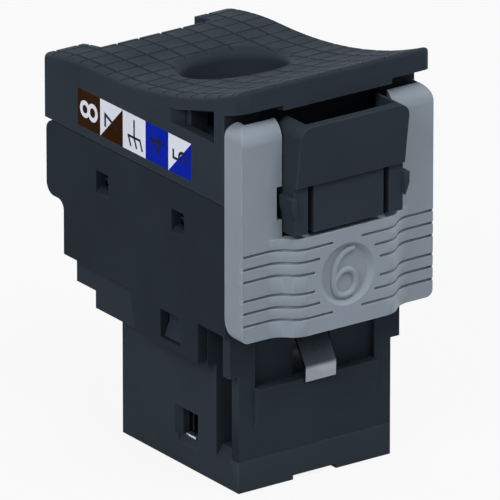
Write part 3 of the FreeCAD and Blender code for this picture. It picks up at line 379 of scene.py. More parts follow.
def edge_highlight():
    """Where the edges get a painted highlight: near corners, broken into patches by noise."""
    tree, entry, leave = new_group("Painted edge highlight", {"Width": FLOAT, "Patch Scale": FLOAT}, {"Mask": FLOAT})
    corner = add(tree, "ShaderNodeBevel", samples=4)
    tree.links.new(entry["Width"], corner.inputs["Radius"])
    straight = add(tree, "ShaderNodeNewGeometry").outputs["Normal"]
    turn = add(tree, "ShaderNodeVectorMath", operation="DOT_PRODUCT")
    tree.links.new(corner.outputs["Normal"], turn.inputs[0])
    tree.links.new(straight, turn.inputs[1])
    patch = noise(tree, surface_place(tree), entry["Patch Scale"], detail=3.0)
    near = spread(tree, turn.outputs["Value"], *CORNER_SPAN)
    tree.links.new(sums(tree, "MULTIPLY", near, spread(tree, patch, *PATCH_SPAN)), leave["Mask"])


def drawn_metal():
    """Rolled and stamped sheet: long fine lines and a little staining."""
    tree, entry, leave = new_group(
        "Drawn metal",
        {"Colour": COLOUR, "Stain Colour": COLOUR, "Smoothest": FLOAT, "Roughest": FLOAT},
        {"Colour": COLOUR, "Roughness": FLOAT, "Height": FLOAT})
    place = surface_place(tree)
    line_scale, stain_scale, stretch = 9000.0, 420.0, (1.0, 0.06, 0.06)
    drawn = add(tree, "ShaderNodeMapping", scale=stretch)
    tree.links.new(place, drawn.inputs["Vector"])
    line = noise(tree, drawn.outputs["Vector"], line_scale, detail=2.0)
    stain = noise(tree, place, stain_scale, detail=3.0)
    tree.links.new(mixed(tree, spread(tree, stain, *STAIN_SPAN), entry["Colour"], entry["Stain Colour"]),
                   leave["Colour"])
    tree.links.new(spread(tree, sums(tree, "ADD", line, stain), *ROUGH_SPAN,
                          entry["Smoothest"], entry["Roughest"]), leave["Roughness"])
    tree.links.new(line, leave["Height"])


def place_group(tree, group, **values):
    """Places a shader group in a material, with its own values."""
    made = tree.nodes.new("ShaderNodeGroup")
    made.node_tree = bpy.data.node_groups[group]
    for key, value in values.items():
        feed(tree, value, made.inputs[key.replace("_", " ").title()])
    return made.outputs


def new_material(name):
    """A material with an empty principled shader."""
    made = bpy.data.materials.new(name)
    made.use_nodes = True
    return made, made.node_tree, made.node_tree.nodes["Principled BSDF"]


def bumpy(tree, shader, height, distance):
    """Gives a shader a relief that is this deep."""
    bump = add(tree, "ShaderNodeBump", distance=distance)
    tree.links.new(height, bump.inputs["Height"])
    tree.links.new(bump.outputs["Normal"], shader.inputs["Normal"])


def shaded(base, share):
    """A colour darkened to a share of itself."""
    return tuple(value * share for value in base)


def paled(base, share, lift):
    """A colour made a little paler."""
    return tuple(min(1.0, value * share + lift) for value in base)


def moulded_plastic(name, base, edge_light, flow_share, grain_scale, smooth, rough, grain_height, shine,
                    highlight_width):
    """Moulded plastic: grain, flow marks and a painted highlight along the edges."""
    _, tree, shader = new_material(name)
    patch_scale = 700.0
    grain = place_group(tree, "Moulded grain", colour=base, flow_colour=shaded(base, flow_share),
                        grain_scale=grain_scale, smoothest=smooth, roughest=rough)
    # A painted highlight along the edges, in patches.
    edge = place_group(tree, "Painted edge highlight", width=highlight_width, patch_scale=patch_scale)
    tree.links.new(mixed(tree, edge["Mask"], grain["Colour"], edge_light), shader.inputs["Base Color"])
    tree.links.new(grain["Roughness"], shader.inputs["Roughness"])
    bumpy(tree, shader, grain["Height"], grain_height)
    shader.inputs["Specular IOR Level"].default_value = shine


def sheet_metal(name, base, stain, smooth, rough, painted_shade=None, axis="Z", between=(0.0, 1.0)):
    """Plated sheet metal, which may turn to a painted shade between two distances along an axis."""
    _, tree, shader = new_material(name)
    drawn = place_group(tree, "Drawn metal", colour=base, stain_colour=stain,
                        smoothest=smooth, roughest=rough)
    surface = drawn["Colour"]
    if painted_shade is not None:
        reach = sums(tree, "ABSOLUTE", surface_axes(tree)[axis])
        surface = mixed(tree, spread(tree, reach, *between), surface, painted_shade)
    tree.links.new(surface, shader.inputs["Base Color"])
    tree.links.new(drawn["Roughness"], shader.inputs["Roughness"])
    bumpy(tree, shader, drawn["Height"], DRAWN_HEIGHT)
    shader.inputs["Metallic"].default_value = 1.0


def printed(name, base):
    """Printed label film: satin ink with a faint roller mottle."""
    _, tree, shader = new_material(name)
    film = place_group(tree, "Moulded grain", colour=base, flow_colour=paled(base, *FILM_PALE),
                       **FILM_SURFACE)
    tree.links.new(film["Colour"], shader.inputs["Base Color"])
    tree.links.new(film["Roughness"], shader.inputs["Roughness"])
    shader.inputs["Specular IOR Level"].default_value = FILM_SHINE
    bumpy(tree, shader, film["Height"], FILM_HEIGHT)


def lacquered_board(name, base):
    """Circuit board: lacquer over glass cloth."""
    _, tree, shader = new_material(name)
    threads = []
    for direction in ("X", "Y"):
        thread = add(tree, "ShaderNodeTexWave", bands_direction=direction, scale=480.0, distortion=0.6)
        tree.links.new(surface_place(tree), thread.inputs["Vector"])
        threads.append(thread.outputs["Fac"])
    cloth = sums(tree, "MULTIPLY", *threads)
    tree.links.new(mixed(tree, cloth, base, paled(base, *CLOTH_PALE)), shader.inputs["Base Color"])
    tree.links.new(spread(tree, cloth, 0.0, 1.0, *CLOTH_ROUGHNESS), shader.inputs["Roughness"])
    bumpy(tree, shader, cloth, CLOTH_HEIGHT)


def make_materials():
    """All finishes of the jack."""
    tint = bpy.context.scene.jack_colours
    for group in (moulded_grain, edge_highlight, drawn_metal):
        group()
    moulded_plastic("black_shell_finish", tint.shell, tint.shell_highlight, **SHELL_SURFACE)
    # Rear housing: a darker copy of the black plastic, a painted shade.
    moulded_plastic("rear_frame_shaded_finish", tint.rear, shaded(tint.shell_highlight, REAR_HIGHLIGHT_SHARE), **SHELL_SURFACE)
    moulded_plastic("grey_plate_finish", tint.plate, tint.plate_highlight, **PLATE_SURFACE)
    moulded_plastic("block_plastic_finish", tint.block, tint.block, **BLOCK_SURFACE)
    moulded_plastic("comb_plastic_finish", tint.comb, tint.shell_highlight, **COMB_SURFACE)
    # The strip above its bend and the liner inside its walls get a painted shade.
    sheet_metal("ground_strip_finish", shaded(tint.strip, STRIP_SHARE),
                shaded(tint.strip, STRIP_STAIN_SHARE),
                **TINNED_SURFACE, painted_shade=tint.strip_shade, axis="Z", between=STRIP_BEND)
    sheet_metal("plug_liner_finish", tint.strip, shaded(tint.strip, LINER_STAIN_SHARE),
                **TINNED_SURFACE, painted_shade=tint.strip_shade, axis="X", between=LINER_WALL)
    sheet_metal("plug_contact_finish", tint.gold, shaded(tint.gold, GOLD_STAIN_SHARE), **GOLD_SURFACE)
    sheet_metal("terminal_finish", tint.tin, shaded(tint.tin, TIN_STAIN_SHARE), **TERMINAL_SURFACE)
    lacquered_board("board_finish", tint.mask)
    for ink in ("paper", "ink", "brown", "blue", "orange", "green"):
        printed(f"label_{ink}", getattr(tint, ink))


# Mesh building

def put(piece, *names):
    """Gives a piece these materials, in its own slots."""
    while len(piece.material_slots) < len(names):
        piece.data.materials.append(None)
    for slot, name in zip(piece.material_slots, names):
        slot.link = "OBJECT"
        slot.material = bpy.data.materials[name]


def linked(name, data):
    """A new object with this data, linked to the scene."""
    made = bpy.data.objects.new(name, data)
    bpy.context.scene.collection.objects.link(made)
    return made


def new_piece(name, mesh, body):
    """Links a new piece and lets it ride on a body."""
    piece = linked(name, mesh)
    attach(piece, body)
    return piece


def within(tree, low, high):
    """Whether an edge's middle lies in a box given by two sockets."""
    place = tree.nodes.new("GeometryNodeInputPosition").outputs["Position"]
    tests = []
    for operation, corner in (("GREATER_THAN", low), ("LESS_THAN", high)):
        test = add(tree, "FunctionNodeCompare", data_type="VECTOR", mode="ELEMENT", operation=operation)
        ends = [socket for socket in test.inputs if socket.type == "VECTOR"]
        tree.links.new(place, ends[0])
        tree.links.new(corner, ends[1])
        tests.append(test.outputs["Result"])
    return sums(tree, "MULTIPLY", *tests)


def weld_and_weigh():
    """The nodes that weld a shell, shade it smooth and weigh its sharp edges for rounding."""
    found = bpy.data.node_groups.get("Welded shell")
    if found:
        return found
    tree = bpy.data.node_groups.new("Welded shell", "GeometryNodeTree")
    for label, kind in (("Geometry", "NodeSocketGeometry"), ("Fine Share", FLOAT),
                        ("Soft Low", "NodeSocketVector"), ("Soft High", "NodeSocketVector"),
                        ("Crisp Low", "NodeSocketVector"), ("Crisp High", "NodeSocketVector")):
        tree.interface.new_socket(label, in_out="INPUT", socket_type=kind)
    tree.interface.new_socket("Geometry", in_out="OUTPUT", socket_type="NodeSocketGeometry")
    entry, leave = tree.nodes.new("NodeGroupInput"), tree.nodes.new("NodeGroupOutput")
    weld = add(tree, "GeometryNodeMergeByDistance", distance=WELD)
    smooth = tree.nodes.new("GeometryNodeSetShadeSmooth")
    angle = tree.nodes.new("GeometryNodeInputMeshEdgeAngle").outputs["Unsigned Angle"]
    sharp = sums(tree, "GREATER_THAN", angle, SHARP_ANGLE)
    soft = within(tree, entry.outputs["Soft Low"], entry.outputs["Soft High"])
    crisp = within(tree, entry.outputs["Crisp Low"], entry.outputs["Crisp High"])
    share = sums(tree, "MAXIMUM", entry.outputs["Fine Share"], soft)
    kept = sums(tree, "MULTIPLY", sharp, sums(tree, "SUBTRACT", 1.0, crisp))
    weigh = add(tree, "GeometryNodeStoreNamedAttribute", data_type="FLOAT", domain="EDGE")
    weigh.inputs["Name"].default_value = "bevel_weight_edge"
    tree.links.new(sums(tree, "MULTIPLY", share, kept), weigh.inputs["Value"])
    chain = [entry, weld, smooth, weigh, leave]
    for first, second in zip(chain, chain[1:]):
        tree.links.new(first.outputs[0], second.inputs[0])
    return tree


def round_edges(piece, width, soft=None, soft_box=None, crisp_box=None):
    """Modifiers that weld a piece, round its sharp edges and keep its flat faces flat.
    Edges in the soft box are rounded wider, and edges in the crisp box are left sharp."""
    group = weld_and_weigh()
    weld = piece.modifiers.new("weld", "NODES")
    weld.node_group = group
    values = {"Fine Share": width / soft if soft else 1.0}
    for label, box in (("Soft", soft_box), ("Crisp", crisp_box)):
        if box:
            values[f"{label} Low"], values[f"{label} High"] = box
    for socket in group.interface.items_tree:
        if socket.in_out == "INPUT" and socket.name in values:
            weld[socket.identifier] = values[socket.name]
    flat = piece.modifiers.new("flat_faces", "DECIMATE")
    flat.decimate_type = "DISSOLVE"
    flat.angle_limit = FLAT_ANGLE
    bevel = piece.modifiers.new("edges", "BEVEL")
    bevel.width = soft or width
    bevel.segments = bpy.context.scene.jack_edges.steps
    bevel.limit_method = "WEIGHT"
    bevel.miter_outer = "MITER_ARC"
    shade = piece.modifiers.new("shading", "WEIGHTED_NORMAL")
    shade.weight = FLAT_FACE_WEIGHT


def baked(piece):
    """The piece's mesh with its modifiers, as a new mesh."""
    seen = piece.evaluated_get(bpy.context.evaluated_depsgraph_get())
    return bpy.data.meshes.new_from_object(seen)


def baked_curve(name, curve):
    """A mesh from a curve or a letter."""
    work = linked(name, curve)
    bpy.context.view_layer.update()
    mesh = baked(work)
    bpy.data.objects.remove(work)
    return mesh


def surface_of(node):
    """The surface of a node's piece, for probes."""
    return BVHTree.FromObject(frame["nodes"][node], bpy.context.evaluated_depsgraph_get())


def struck(tree, start, direction):
    """Where a straight probe first meets a surface."""
    place = tree.ray_cast(Vector(start), Vector(direction))[0]
    if place is None:
        raise RuntimeError(f"nothing of the jack lies at {start} towards {direction}")
    return place


def sweep(rings):
    """A closed mesh through rings of equal numbers of corners."""
    count = len(rings[0])
    corners = [corner for ring in rings for corner in ring]
    faces = [tuple(reversed(range(count)))]
    for step in range(len(rings) - 1):
        base = step * count
        for index in range(count):
            after = (index + 1) % count
            faces.append((base + index, base + after, base + count + after, base + count + index))
    faces.append(tuple(range(len(corners) - count, len(corners))))
    return corners, faces


def facing_out(mesh):
    """Turns the faces of a mesh's closed shells outwards."""
    shape = bmesh.new()
    shape.from_mesh(mesh)
    bmesh.ops.recalc_face_normals(shape, faces=shape.faces)
    shape.to_mesh(mesh)
    shape.free()
    return mesh


def merged(name, parts):
    """One mesh from several closed ones."""
    corners, faces = [], []
    for part_corners, part_faces in parts:
        first = len(corners)
        corners += part_corners
        faces += [tuple(first + index for index in face) for face in part_faces]
    mesh = bpy.data.meshes.new(name)
    mesh.from_pydata(corners, [], faces)
    return facing_out(mesh)


# Pieces

class JACK_OT_shells(bpy.types.Operator):
    """Finish the black front housing, the rear housing and the latch"""
    bl_idname = "jack.shells"
    bl_label = "Black shells"

    def execute(self, context):
        edges = context.scene.jack_edges
        low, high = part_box("latch_lever")
        near = 0.1 * MM
        seam_box = ((low.x - near, low.y, edges.seam - near), (high.x + near, high.y, edges.seam + near))
        paddle_box = ((low.x, low.y - near, high.z - PADDLE_HEIGHT),
                      (high.x, low.y + PADDLE_SKIN, high.z + near))
        for node in ("front_housing", "latch_lever"):
            put(frame["nodes"][node], "black_shell_finish")
        # The rear housing wears the darker copy of the black plastic, a painted shade.
        put(frame["nodes"]["rear_housing"], "rear_frame_shaded_finish")
        round_edges(frame["nodes"]["rear_housing"], edges.shell)
        round_edges(frame["nodes"]["front_housing"], edges.shell, crisp_box=seam_box)
        round_edges(frame["nodes"]["latch_lever"], edges.shell, edges.paddle, paddle_box, seam_box)
        return {"FINISHED"}


def grid_cutters(grid):
    """The two sets of grooves in the cap's top, which follow its sweep."""
    low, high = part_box("wire_cap")
    top = surface_of("wire_cap")
    probe_x = 0.8 * high.x
    over = 0.6 * MM
    inset = 0.05 * MM
    half = grid.width / 2

    def height(place):
        """The height of the cap's top at this Y, held level past its ends."""
        inside = min(max(place, low.y + inset), high.y - inset)
        return struck(top, (probe_x, inside, high.z + over), (0, 0, -1)).z

    def span(start, pitch, first, last):
        """The places of a row of lines between two ends, which passes through its start."""
        count = math.ceil((start - first) / pitch)
        place = start - count * pitch
        places = []
        while place < last:
            if place > first:
                places.append(place)
            place += pitch
        return places

    reach = high.y - low.y + 2 * over
    stations = [low.y - over + reach * step / GRID_STATIONS for step in range(GRID_STATIONS + 1)]
    ribbons = []
    for x in span(grid.across_start, grid.across_pitch, low.x, high.x):
        rings = []
        for y in stations:
            floor = height(y) - grid.depth
            rings.append([(x, y, floor), (x + half, y, floor + grid.depth),
                          (x + half, y, floor + over), (x - half, y, floor + over),
                          (x - half, y, floor + grid.depth)])
        ribbons.append(sweep(rings))
    bars = []
    for y in span(grid.along_start, grid.along_pitch, low.y, high.y - inset):
        floor = height(y) - grid.depth
        rings = [[(x, y, floor), (x, y + half, height(y + half)), (x, y + half, floor + over),
                  (x, y - half, floor + over), (x, y - half, height(y - half))]
                 for x in (low.x - over, high.x + over)]
        bars.append(sweep(rings))
    return merged("grid_front_to_back", ribbons), merged("grid_side_to_side", bars)


def soft_topped_cap(width):
    """The cap's mesh, welded, with the edge round its top rounded along the sides and the lip."""
    low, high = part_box("wire_cap")
    lip_back = low.y + LIP_CORNER
    roof_low = high.z - ROOF_FALL
    shape = bmesh.new()
    shape.from_mesh(frame["nodes"]["wire_cap"].data)
    bmesh.ops.remove_doubles(shape, verts=shape.verts, dist=WELD)
    bmesh.ops.dissolve_limit(shape, angle_limit=FLAT_ANGLE, verts=shape.verts, edges=shape.edges)

    def at_top(edge):
        """Whether an edge parts the swept top from the sides or the lip."""
        outer = all(abs(vert.co.x) > high.x - WELD or vert.co.y < lip_back for vert in edge.verts)
        on_roof = all(vert.co.z > roof_low for vert in edge.verts)
        upward = [face.normal.z > UPWARD for face in edge.link_faces]
        return outer and on_roof and any(upward) and not all(upward)

    chosen = [edge for edge in shape.edges if at_top(edge)]
    bmesh.ops.bevel(shape, geom=chosen, offset=width, segments=CAP_EDGE_FACES, profile=0.5, affect="EDGES")
    mesh = bpy.data.meshes.new("cap_work")
    shape.to_mesh(mesh)
    shape.free()
    return mesh


class JACK_OT_wire_cap(bpy.types.Operator):
    """Make the cap with the fine grid in its top, in place of the plain one"""
    bl_idname = "jack.wire_cap"
    bl_label = "Wire cap"

    def execute(self, context):
        cutters = grid_cutters(context.scene.jack_grid)
        work = linked("cap_work", soft_topped_cap(context.scene.jack_edges.cap_top))
        round_edges(work, context.scene.jack_edges.shell)
        tools = []
        for mesh in cutters:
            tool = linked(mesh.name, mesh)
            tools.append(tool)
            cut = work.modifiers.new(mesh.name, "BOOLEAN")
            cut.operation = "DIFFERENCE"
            cut.solver = "MANIFOLD"
            cut.object = tool
        context.view_layer.update()
        mesh = baked(work)
        for spare in (work, *tools):
            bpy.data.objects.remove(spare)
        mesh.materials.clear()
        cap = new_piece("wire_cap_moulding", mesh, CAP)
        put(cap, "black_shell_finish")
        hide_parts("wire_cap")
        return {"FINISHED"}


def numeral_path(height):
    """The line of the raised six, from its upper end round the bowl, in its own plane."""
    points = [(0.20, 0.50), (0.02, 0.49), (-0.20, 0.34), (-0.29, 0.05), (-0.29, -0.24), (-0.22, -0.44),
              (0.0, -0.50), (0.22, -0.43), (0.28, -0.20), (0.21, 0.02), (0.0, 0.09), (-0.18, 0.02),
              (-0.27, -0.16)]
    return [(x * height, y * height) for x, y in points]


def plate_front(x, z):
    """The point of the front plate that a probe from the front meets at this place."""
    return struck(surface_of("front_plate"), (x, cad_box[0][1] - PROBE_REACH, z), (0, 1, 0))


def numeral_mesh(marks):
    """The raised numeral: a round stroke half sunk in the floor of the dish."""
    floor = plate_front(0, marks.dish)
    line = bpy.data.curves.new("numeral_line", "CURVE")
    line.dimensions = "3D"
    line.bevel_depth = marks.stroke / 2
    line.bevel_resolution = 3
    line.use_fill_caps = True
    spline = line.splines.new("NURBS")
    path = numeral_path(marks.numeral - marks.stroke)
    spline.points.add(len(path) - 1)
    for point, (x, y) in zip(spline.points, path):
        point.co = (floor.x + x, floor.y, floor.z + y, 1)
    spline.order_u = 4
    spline.use_endpoint_u = True
    spline.resolution_u = 8
    return baked_curve("numeral_work", line)


def groove_stops(dish, grip, rounding):
    """Plugs at the outer ends of the grip grooves, flush with the plate and its rounded edge."""
    side = cad_box[1][0] - STOP_INSET
    inner = side - grip.stop
    front = plate_front(inner, dish).y + STOP_INSET
    back = front + grip.depth
    quarter = [math.radians(90 * step / STOP_FACES) for step in range(STOP_FACES + 1)]
    corner = [(side - rounding + rounding * math.sin(turn), front + rounding - rounding * math.cos(turn))
              for turn in quarter]
    outline = [(inner, front), *corner, (side, back), (inner, back)]
    plugs = []
    for row in range(grip.rows):
        for sign in (-1, 1):
            middle = dish + sign * (grip.start + row * grip.pitch)
            ends = (middle - grip.width / 2, middle + grip.width / 2)
            for hand in (-1, 1):
                plugs.append(sweep([[(hand * x, y, z) for x, y in outline] for z in ends]))
    return merged("groove_stops", plugs)


class JACK_OT_front_plate(bpy.types.Operator):
    """Finish the grey plate, stop its grooves and raise the numeral in its dish"""
    bl_idname = "jack.front_plate"
    bl_label = "Front plate"

    def execute(self, context):
        plate = frame["nodes"]["front_plate"]
        rounding = context.scene.jack_edges.plate
        marks = context.scene.jack_print
        put(plate, "grey_plate_finish")
        round_edges(plate, rounding)
        numeral = new_piece("dish_numeral", numeral_mesh(marks), JACK)
        numeral.data.shade_smooth()
        put(numeral, "grey_plate_finish")
        plugs = groove_stops(marks.dish, context.scene.jack_grip, rounding)
        stops = new_piece("groove_stops", plugs, JACK)
        put(stops, "grey_plate_finish")
        return {"FINISHED"}


def digit_mesh(text, height, growth):
    """A digit of the built-in face as a flat mesh about its own middle, this high."""
    letter = bpy.data.curves.new("digit", "FONT")
    letter.body = text
    letter.align_x = "CENTER"
    letter.align_y = "CENTER"
    letter.offset = growth
    letter.resolution_u = 6
    mesh = baked_curve("digit_work", letter)
    xs = [corner.co.x for corner in mesh.vertices]
    ys = [corner.co.y for corner in mesh.vertices]
    middle = Vector(((min(xs) + max(xs)) / 2, (min(ys) + max(ys)) / 2, 0))
    size = height / (max(ys) - min(ys))
    mesh.transform(Matrix.Scale(size, 4) @ Matrix.Translation(-middle))
    return mesh


def ground_sign(size):
    """The chassis ground sign as strokes: (start, end) in its own plane."""
    half = size / 2
    arm = 0.37 * size
    bar = -0.15 * size
    lean = 0.14 * size
    strokes = [((0, half), (0, bar)), ((-arm, bar), (arm, bar))]
    for x in (-arm, 0, arm):
        strokes.append(((x, bar), (x - lean, -half)))
    return strokes


def stroke_outline(start, end, width):
    """The four corners of a straight stroke with square ends."""
    along = (Vector(end) - Vector(start)).normalized() * width / 2
    side = Vector((-along.y, along.x))
    first, last = Vector(start) - along, Vector(end) + along
    return [first - side, last - side, last + side, first + side]


class Label:
    """Builds one wiring label: printed fields side by side, each with its mark."""

    def __init__(self, side, inks, proud):
        self.low, self.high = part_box(f"label_{side}")
        self.outward = -1 if side == "left" else 1
        self.outer = self.low.x if side == "left" else self.high.x
        self.inner = self.high.x if side == "left" else self.low.x
        self.face = self.outer + self.outward * proud
        self.sunk = self.outer - self.outward * proud
        self.middle_z = (self.low.z + self.high.z) / 2
        self.inks = inks
        self.corners, self.faces, self.ink_of = [], [], []

    def add(self, corners, faces, ink):
        """Adds a closed form in one ink."""
        first = len(self.corners)
        self.corners += corners
        self.faces += [tuple(first + index for index in face) for face in faces]
        self.ink_of += [self.inks.index(ink)] * len(faces)

    def slab(self, outline, depth_from, depth_to, ink):
        """A flat patch with this outline in Y and Z."""
        rings = [[(x, y, z) for y, z in outline] for x in (depth_from, depth_to)]
        self.add(*sweep(rings), ink)

    def field(self, back, front, ground, corner):
        """The ground of a field in one ink, or parted from corner to corner in two."""
        square = [(back, self.high.z), (front, self.high.z), (front, self.low.z), (back, self.low.z)]
        if corner:
            self.slab([square[0], square[1], square[3]], self.inner, self.outer, ground)
            self.slab([square[1], square[2], square[3]], self.inner, self.outer, corner)
        else:
            self.slab(square, self.inner, self.outer, ground)

    def printed_at(self, middle, across, upwards):
        """Where a point of a mark lies in Y and Z, in the field with this middle."""
        return (middle - self.outward * upwards, self.middle_z + across)

    def ground_mark(self, middle, size, ink):
        """Prints the ground sign, which stands upright where the digits lie on their sides."""
        for start, end in ground_sign(size):
            outline = stroke_outline(start, end, GROUND_STROKE * size)
            self.slab([self.printed_at(middle, point.y, point.x) for point in outline],
                      self.sunk, self.face, ink)

    def digit_mark(self, middle, text, size, ink):
        """Prints a digit, bold where it is white."""
        share, growth = BOLD_DIGIT if ink == "paper" else THIN_DIGIT
        shape = bmesh.new()
        shape.from_mesh(digit_mesh(text, share * size, growth))
        for part in bmesh.ops.extrude_face_region(shape, geom=shape.faces[:])["geom"]:
            if isinstance(part, bmesh.types.BMVert):
                part.co.z = 1
        shape.verts.index_update()
        corners = [(self.face if vert.co.z else self.sunk, *self.printed_at(middle, vert.co.x, vert.co.y))
                   for vert in shape.verts]
        self.add(corners, [[vert.index for vert in part.verts] for part in shape.faces], ink)
        shape.free()

    def mesh(self, name):
        """The label's mesh, with a material for each ink."""
        mesh = bpy.data.meshes.new(name)
        mesh.from_pydata(self.corners, [], self.faces)
        mesh.polygons.foreach_set("material_index", self.ink_of)
        return facing_out(mesh)


def make_label(side, fields, marks):
    """One label from its fields, back to front: (ground ink, corner ink or None, mark, mark's ink)."""
    inks = sorted({ink for field in fields for ink in (field[0], field[1], field[3]) if ink})
    label = Label(side, inks, marks.proud)
    pitch = (label.high.y - label.low.y) / len(fields)
    for index, (ground, corner, mark, ink) in enumerate(fields):
        back = label.high.y - index * pitch
        front = back - pitch
        middle = (back + front) / 2
        label.field(back, front, ground, corner)
        if mark == "ground":
            label.ground_mark(middle, marks.digit, ink)
        else:
            label.digit_mark(middle, mark, marks.digit, ink)
    piece = new_piece(f"label_{side}_print", label.mesh(f"label_{side}_print"), CAP)
    put(piece, *(f"label_{ink}" for ink in inks))
    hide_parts(f"label_{side}")


class JACK_OT_labels(bpy.types.Operator):
    """Print the two wiring labels"""
    bl_idname = "jack.labels"
    bl_label = "Wiring labels"

    def execute(self, context):
        marks = context.scene.jack_print
        make_label("left", [("brown", None, "8", "paper"), ("paper", "brown", "7", "ink"),
                            ("paper", None, "ground", "ink"), ("blue", None, "4", "ink"),
                            ("paper", "blue", "5", "ink")], marks)
        make_label("right", [("orange", None, "2", "ink"), ("paper", "orange", "1", "ink"),
                             ("paper", None, "ground", "ink"), ("green", None, "6", "ink"),
                             ("paper", "green", "3", "ink")], marks)
        return {"FINISHED"}


class JACK_OT_metal(bpy.types.Operator):
    """Finish the ground strip, the plug shield, the contacts and the terminals"""
    bl_idname = "jack.metal"
    bl_label = "Metal"

    def execute(self, context):
        finishes = {"ground_spring": "ground_strip_finish", "plug_shield": "plug_liner_finish",
                    "contact_": "plug_contact_finish", "idc_terminal_": "terminal_finish",
                    "drain_terminal_": "terminal_finish"}
        for node, piece in frame["nodes"].items():
            for start, finish in finishes.items():
                if node.startswith(start) and node != "contact_carrier":
                    put(piece, finish)
                    round_edges(piece, context.scene.jack_edges.metal)
        return {"FINISHED"}


class JACK_OT_inside(bpy.types.Operator):
    """Finish the board, the terminal towers and the contact comb"""
    bl_idname = "jack.inside"
    bl_label = "Inside pieces"

    def execute(self, context):
        for node, finish in (("circuit_board", "board_finish"), ("terminal_block", "block_plastic_finish"),
                             ("contact_carrier", "comb_plastic_finish")):
            put(frame["nodes"][node], finish)
            round_edges(frame["nodes"][node], context.scene.jack_edges.plate)
        return {"FINISHED"}


# Studio

def white_for_camera(tree, surface, share):
    """White where the camera, a mirror or glass looks at it, mixed over the plain surface by a share."""
    rays = add(tree, "ShaderNodeLightPath").outputs
    seen = sums(tree, "MAXIMUM", rays["Is Camera Ray"],
                sums(tree, "MAXIMUM", rays["Is Glossy Ray"], rays["Is Transmission Ray"]))
    glow = add(tree, "ShaderNodeEmission")
    glow.inputs["Color"].default_value = WHITE
    mix = add(tree, "ShaderNodeMixShader")
    tree.links.new(sums(tree, "MULTIPLY", seen, share), mix.inputs["Fac"])
    tree.links.new(surface, mix.inputs[1])
    tree.links.new(glow.outputs["Emission"], mix.inputs[2])
    return mix.outputs["Shader"]


def under_nose(tree):
    """One on the patch of floor that the nose covers, where the light in the socket shows as it is."""
    place = surface_axes(tree)
    covered = []
    for axis, middle, half in (("X", 0.0, NOSE_HALF_WIDTH), ("Y", SOCKET_MIDDLE, SOCKET_HALF_DEPTH)):
        covered.append(sums(tree, "COMPARE", place[axis], middle, half))
    return sums(tree, "MULTIPLY", *covered)


def soft_lamp(name, place, size, aim, power):
    """A square soft lamp that looks at the jack."""
    lamp = bpy.data.lights.new(name, "AREA")
    lamp.shape = "SQUARE"
    lamp.size = size
    lamp.energy = power
    hung = linked(name, lamp)
    hung.location = place
    hung.rotation_euler = (aim - Vector(place)).to_track_quat("-Z", "Y").to_euler()


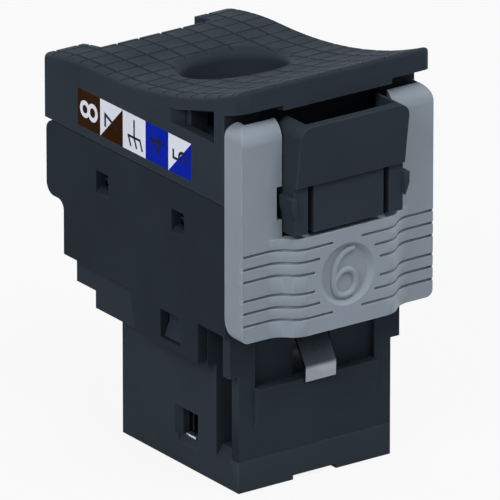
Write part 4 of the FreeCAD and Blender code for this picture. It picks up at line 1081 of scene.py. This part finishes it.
class JACK_OT_studio(bpy.types.Operator):
    """Lay the white floor and set the lamps and the camera"""
    bl_idname = "jack.studio"
    bl_label = "Studio"

    def execute(self, context):
        scene = context.scene
        studio = scene.jack_studio
        aim = Vector(studio.aim)
        self.floor(studio)
        self.world(studio.fill)
        soft_lamp("key_lamp", *KEY_LAMP, aim, studio.key)
        soft_lamp("top_lamp", *TOP_LAMP, aim, studio.top)
        soft_lamp("right_lamp", *RIGHT_LAMP, aim, studio.far)
        soft_lamp("back_lamp", *BACK_LAMP, aim, studio.far)
        across = math.cos(studio.elevation)
        away = Vector((math.sin(studio.azimuth) * across, -math.cos(studio.azimuth) * across,
                       math.sin(studio.elevation)))
        view = bpy.data.cameras.new("photo_camera")
        view.lens = studio.lens
        view.clip_end = VIEW_REACH
        camera = linked("photo_camera", view)
        camera.location = aim + away * studio.distance
        camera.rotation_euler = (-away).to_track_quat("-Z", "Y").to_euler()
        scene.camera = camera
        scene.view_settings.view_transform = "Standard"
        return {"FINISHED"}

    def floor(self, studio):
        """A wide pale floor just under the jack, seen as white and still shaded by the jack."""
        corners = [(x * FLOOR_HALF, y * FLOOR_HALF, -FLOOR_DROP)
                   for x, y in ((-1, -1), (1, -1), (1, 1), (-1, 1))]
        mesh = bpy.data.meshes.new("studio_floor")
        mesh.from_pydata(corners, [], [(0, 1, 2, 3)])
        floor = linked("studio_floor", mesh)
        made, tree, shader = new_material("studio_paper")
        shader.inputs["Base Color"].default_value = (studio.paper, studio.paper, studio.paper, 1)
        shader.inputs["Roughness"].default_value = PAPER_ROUGHNESS
        out = tree.nodes["Material Output"].inputs["Surface"]
        open_floor = sums(tree, "SUBTRACT", 1.0, under_nose(tree))
        share = sums(tree, "MULTIPLY", open_floor, studio.whiteness)
        tree.links.new(white_for_camera(tree, shader.outputs["BSDF"], share), out)
        mesh.materials.append(made)

    def world(self, fill):
        """Even light all round, seen as white."""
        world = bpy.data.worlds.new("studio_air")
        world.use_nodes = True
        bpy.context.scene.world = world
        tree = world.node_tree
        even = tree.nodes["Background"]
        even.inputs["Color"].default_value = AIR_COLOUR
        even.inputs["Strength"].default_value = fill
        out = tree.nodes["World Output"].inputs["Surface"]
        tree.links.new(white_for_camera(tree, even.outputs["Background"], 1.0), out)


class JACK_PT_panel(bpy.types.Panel):
    """Lists the steps that dress the jack"""
    bl_idname = "JACK_PT_panel"
    bl_label = "Keystone jack"
    bl_space_type = "VIEW_3D"
    bl_region_type = "UI"
    bl_category = "Jack"

    def draw(self, context):
        for group in GROUPS:
            box = self.layout.box()
            settings = getattr(context.scene, group)
            for name in settings.__annotations__:
                box.prop(settings, name)
        for step in STEPS:
            self.layout.operator(step.bl_idname)


GROUPS = {"jack_colours": JackColours, "jack_edges": JackEdges, "jack_grid": JackGrid,
          "jack_print": JackPrint, "jack_grip": JackGrip, "jack_studio": JackStudio}
STEPS = (JACK_OT_shells, JACK_OT_wire_cap, JACK_OT_front_plate, JACK_OT_labels, JACK_OT_metal,
         JACK_OT_inside, JACK_OT_studio)
CLASSES = (*GROUPS.values(), *STEPS, JACK_PT_panel)


def register():
    """Makes the settings, the steps and the panel known to Blender."""
    for made in CLASSES:
        bpy.utils.register_class(made)
    for name, group in GROUPS.items():
        setattr(bpy.types.Scene, name, PointerProperty(type=group))


def unregister():
    """Takes the settings, the steps and the panel away again."""
    for name in GROUPS:
        delattr(bpy.types.Scene, name)
    for made in reversed(CLASSES):
        bpy.utils.unregister_class(made)


def main():
    """Dresses the jack."""
    register()
    for spare in list(bpy.data.objects):
        if spare.name in ("Cube", "Light", "Camera"):
            bpy.data.objects.remove(spare)
    make_materials()
    bpy.ops.jack.shells()
    bpy.ops.jack.wire_cap()
    bpy.ops.jack.front_plate()
    bpy.ops.jack.labels()
    bpy.ops.jack.metal()
    bpy.ops.jack.inside()
    bpy.ops.jack.studio()


if __name__ == "__main__":
    main()
